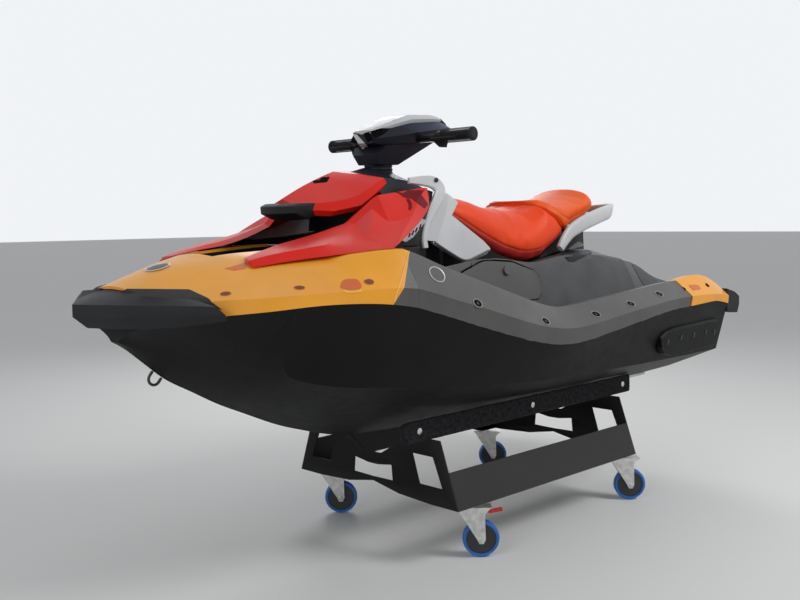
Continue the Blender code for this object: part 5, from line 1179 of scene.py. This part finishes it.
pair("shoulder_band", band_piece(), "light_grey", 0.0012, node="shoulder_strip")
studs(tree_of("shoulder_band_port"), pixel_ray, [(436.0, 180.0)],
      ("shoulder_knob", "black_screw", 18, (1, 1),
       [(0, -0.001), (0.0075, -0.001), (0.008, 0.003), (0.0062, 0.006), (0, 0.0066)]))

# Knee panels: the silver skin reaches under the shoulder band; a grey edge runs round their foot

knee_tree = tree_of("knee_panel_port")
knee_front = landed(knee_tree, from_crop([(318, 150), (312, 215), (294, 290), (264, 385),
                                          (250, 432)], KNEE_CROP))
band_rear = [(0.196, 0.226, 1.226), (0.209, 0.23, 1.19), (0.24, 0.235, 1.155),
             (0.271, 0.242, 1.112), (0.29, 0.249, 1.062)]
knee_front = [tuple(p + Vector((0, 0.003, 0))) for p in knee_front]
pair("knee_front", shell([knee_front, band_rear], 0.004), "silver_satin", 0.001)
knee_foot = landed(knee_tree, from_crop([(238, 436), (330, 496), (424, 546), (500, 519),
                                         (566, 486)], KNEE_CROP))
bead("knee_trim", smooth_path(knee_foot, 4), 0.0042, 8, "grey_satin")

# Grab handle: a smooth loop, low at its feet and tall across the back

HANDLE_LINE = [(-0.524, 0.2036, 1.008), (-0.553, 0.2036, 1.04), (-0.602, 0.2024, 1.076),
               (-0.685, 0.2006, 1.106), (-0.796, 0.196, 1.134), (-0.9, 0.178, 1.152),
               (-0.972, 0.132, 1.162), (-1.004, 0.066, 1.165)]
loop = HANDLE_LINE + [(-1.011, 0.0, 1.165)] + [(x, -y, z) for x, y, z in HANDLE_LINE[::-1]]
bm = bmesh.new()


def from_middle(t):
    """0 at both ends of the handle, 1 at its middle."""
    return 1 - abs(2 * t - 1)


blade(bm, smooth_path(loop, 7), (-0.35, 0, 1),
      lambda t: 0.013 + 0.018 * sin(pi * min(1, 0.06 + from_middle(t) * 0.94)), 0.011)
handle = add("grab_handle_loop", bm, "light_grey", "craft", 60)
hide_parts("grab_handle")
handle.data.materials.append(M["tan_liner"])
for face in handle.data.polygons:
    centre, normal = face.center, face.normal
    inward = Vector((-0.8 - centre.x, -centre.y, 0))
    if centre.x < -0.72 and inward.length > 0.01 and normal.dot(inward.normalized()) > 0.75:
        face.material_index = 1

# Hood lip: the black catch under the hood's front edge

LIP_SECTION = [(-0.058, 0.0), (-0.014, 0.0), (0.008, -0.01), (0.006, -0.034), (-0.04, -0.054),
               (-0.07, -0.048)]
LIP_HALF = [(0.104, -0.05, 0.6), (0.09, -0.016, 0.95), (0.045, -0.002, 1.0)]
LIP_ROWS = [(-y, back, share) for y, back, share in LIP_HALF] + [(0.0, 0.0, 1.0)] + LIP_HALF[::-1]
LIP_PLACE = (0.704, 1.186)
bm = bmesh.new()
rings = []
for y, back, share in LIP_ROWS:
    rings.append([bm.verts.new((LIP_PLACE[0] + back + x, y, LIP_PLACE[1] + z * share))
                  for x, z in LIP_SECTION])
joined(bm, rings)
lip = add("hood_lip", bm, "charcoal_rubber", "hood")
rounded(lip, 0.003)
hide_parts("hood_latch")

# Steering gaiter between the cowl and the funnel

bm = bmesh.new()
turned(bm, Vector((0.253, 0, 1.268)), (0, 0, 1),
       [(0.03, -0.006), (0.05, 0.0), (0.053, 0.012), (0.049, 0.017), (0.052, 0.023),
        (0.0475, 0.029), (0.0505, 0.035), (0.0465, 0.041), (0.0495, 0.047), (0.046, 0.052),
        (0.03, 0.052)], 40)
add("steering_gaiter", bm, "charcoal_rubber", "steering", 60)

# Bare bosses on the nose and on the gunwale

studs(nose_tree, pixel_ray, [(157.5, 267.5)],
      ("nose_boss_rim", "silver_satin", 48, (1, 1),
       [(0.034, -0.001), (0.0365, 0.0012), (0.035, 0.003), (0.0325, 0.0026), (0.0315, 0.0008)]),
      ("nose_boss_face", "black_core", 48, (1, 1),
       [(0, -0.0008), (0.0325, -0.0008), (0.0325, 0.0012), (0.02, 0.0024), (0, 0.0028)]),
      both=False)
studs(gunwale_tree, pixel_ray, [(437.0, 274.5)],
      ("gunwale_boss_rim", "silver_satin", 48, (1.12, 0.86),
       [(0.03, -0.001), (0.032, 0.001), (0.0306, 0.0026), (0.0285, 0.002), (0.0276, 0.0006)]),
      ("gunwale_boss_face", "grey_satin", 48, (1.12, 0.86),
       [(0, -0.0008), (0.0284, -0.0008), (0.0284, 0.0008), (0.02, 0.0014), (0, 0.0016)]))

# Sponson bolts and bunk screws

studs(tree_of("sponson_port"), side_ray,
      [(-0.755, 0.645), (-0.86, 0.652), (-0.97, 0.652), (-1.08, 0.652), (-1.165, 0.645)],
      ("sponson_bolts", "black_screw", 20, (1, 1),
       [(0, -0.001), (0.01, -0.001), (0.0104, 0.0012), (0.0088, 0.0022), (0.006, 0.001),
        (0, 0.001)]))
BUNK_INSET = 0.06
low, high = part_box("bunk_port")
studs(tree_of("bunk_carpet_port"), side_ray,
      [(x, (low[2] + high[2]) / 2)
       for x in (low[0] + BUNK_INSET, (low[0] + high[0]) / 2, high[0] - BUNK_INSET)],
      ("bunk_screws", "zinc_steel", 20, (1, 1),
       [(0, -0.001), (0.0105, -0.001), (0.0105, 0.0016), (0.007, 0.003), (0, 0.0034)]),
      lift=-0.0008)

low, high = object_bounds()
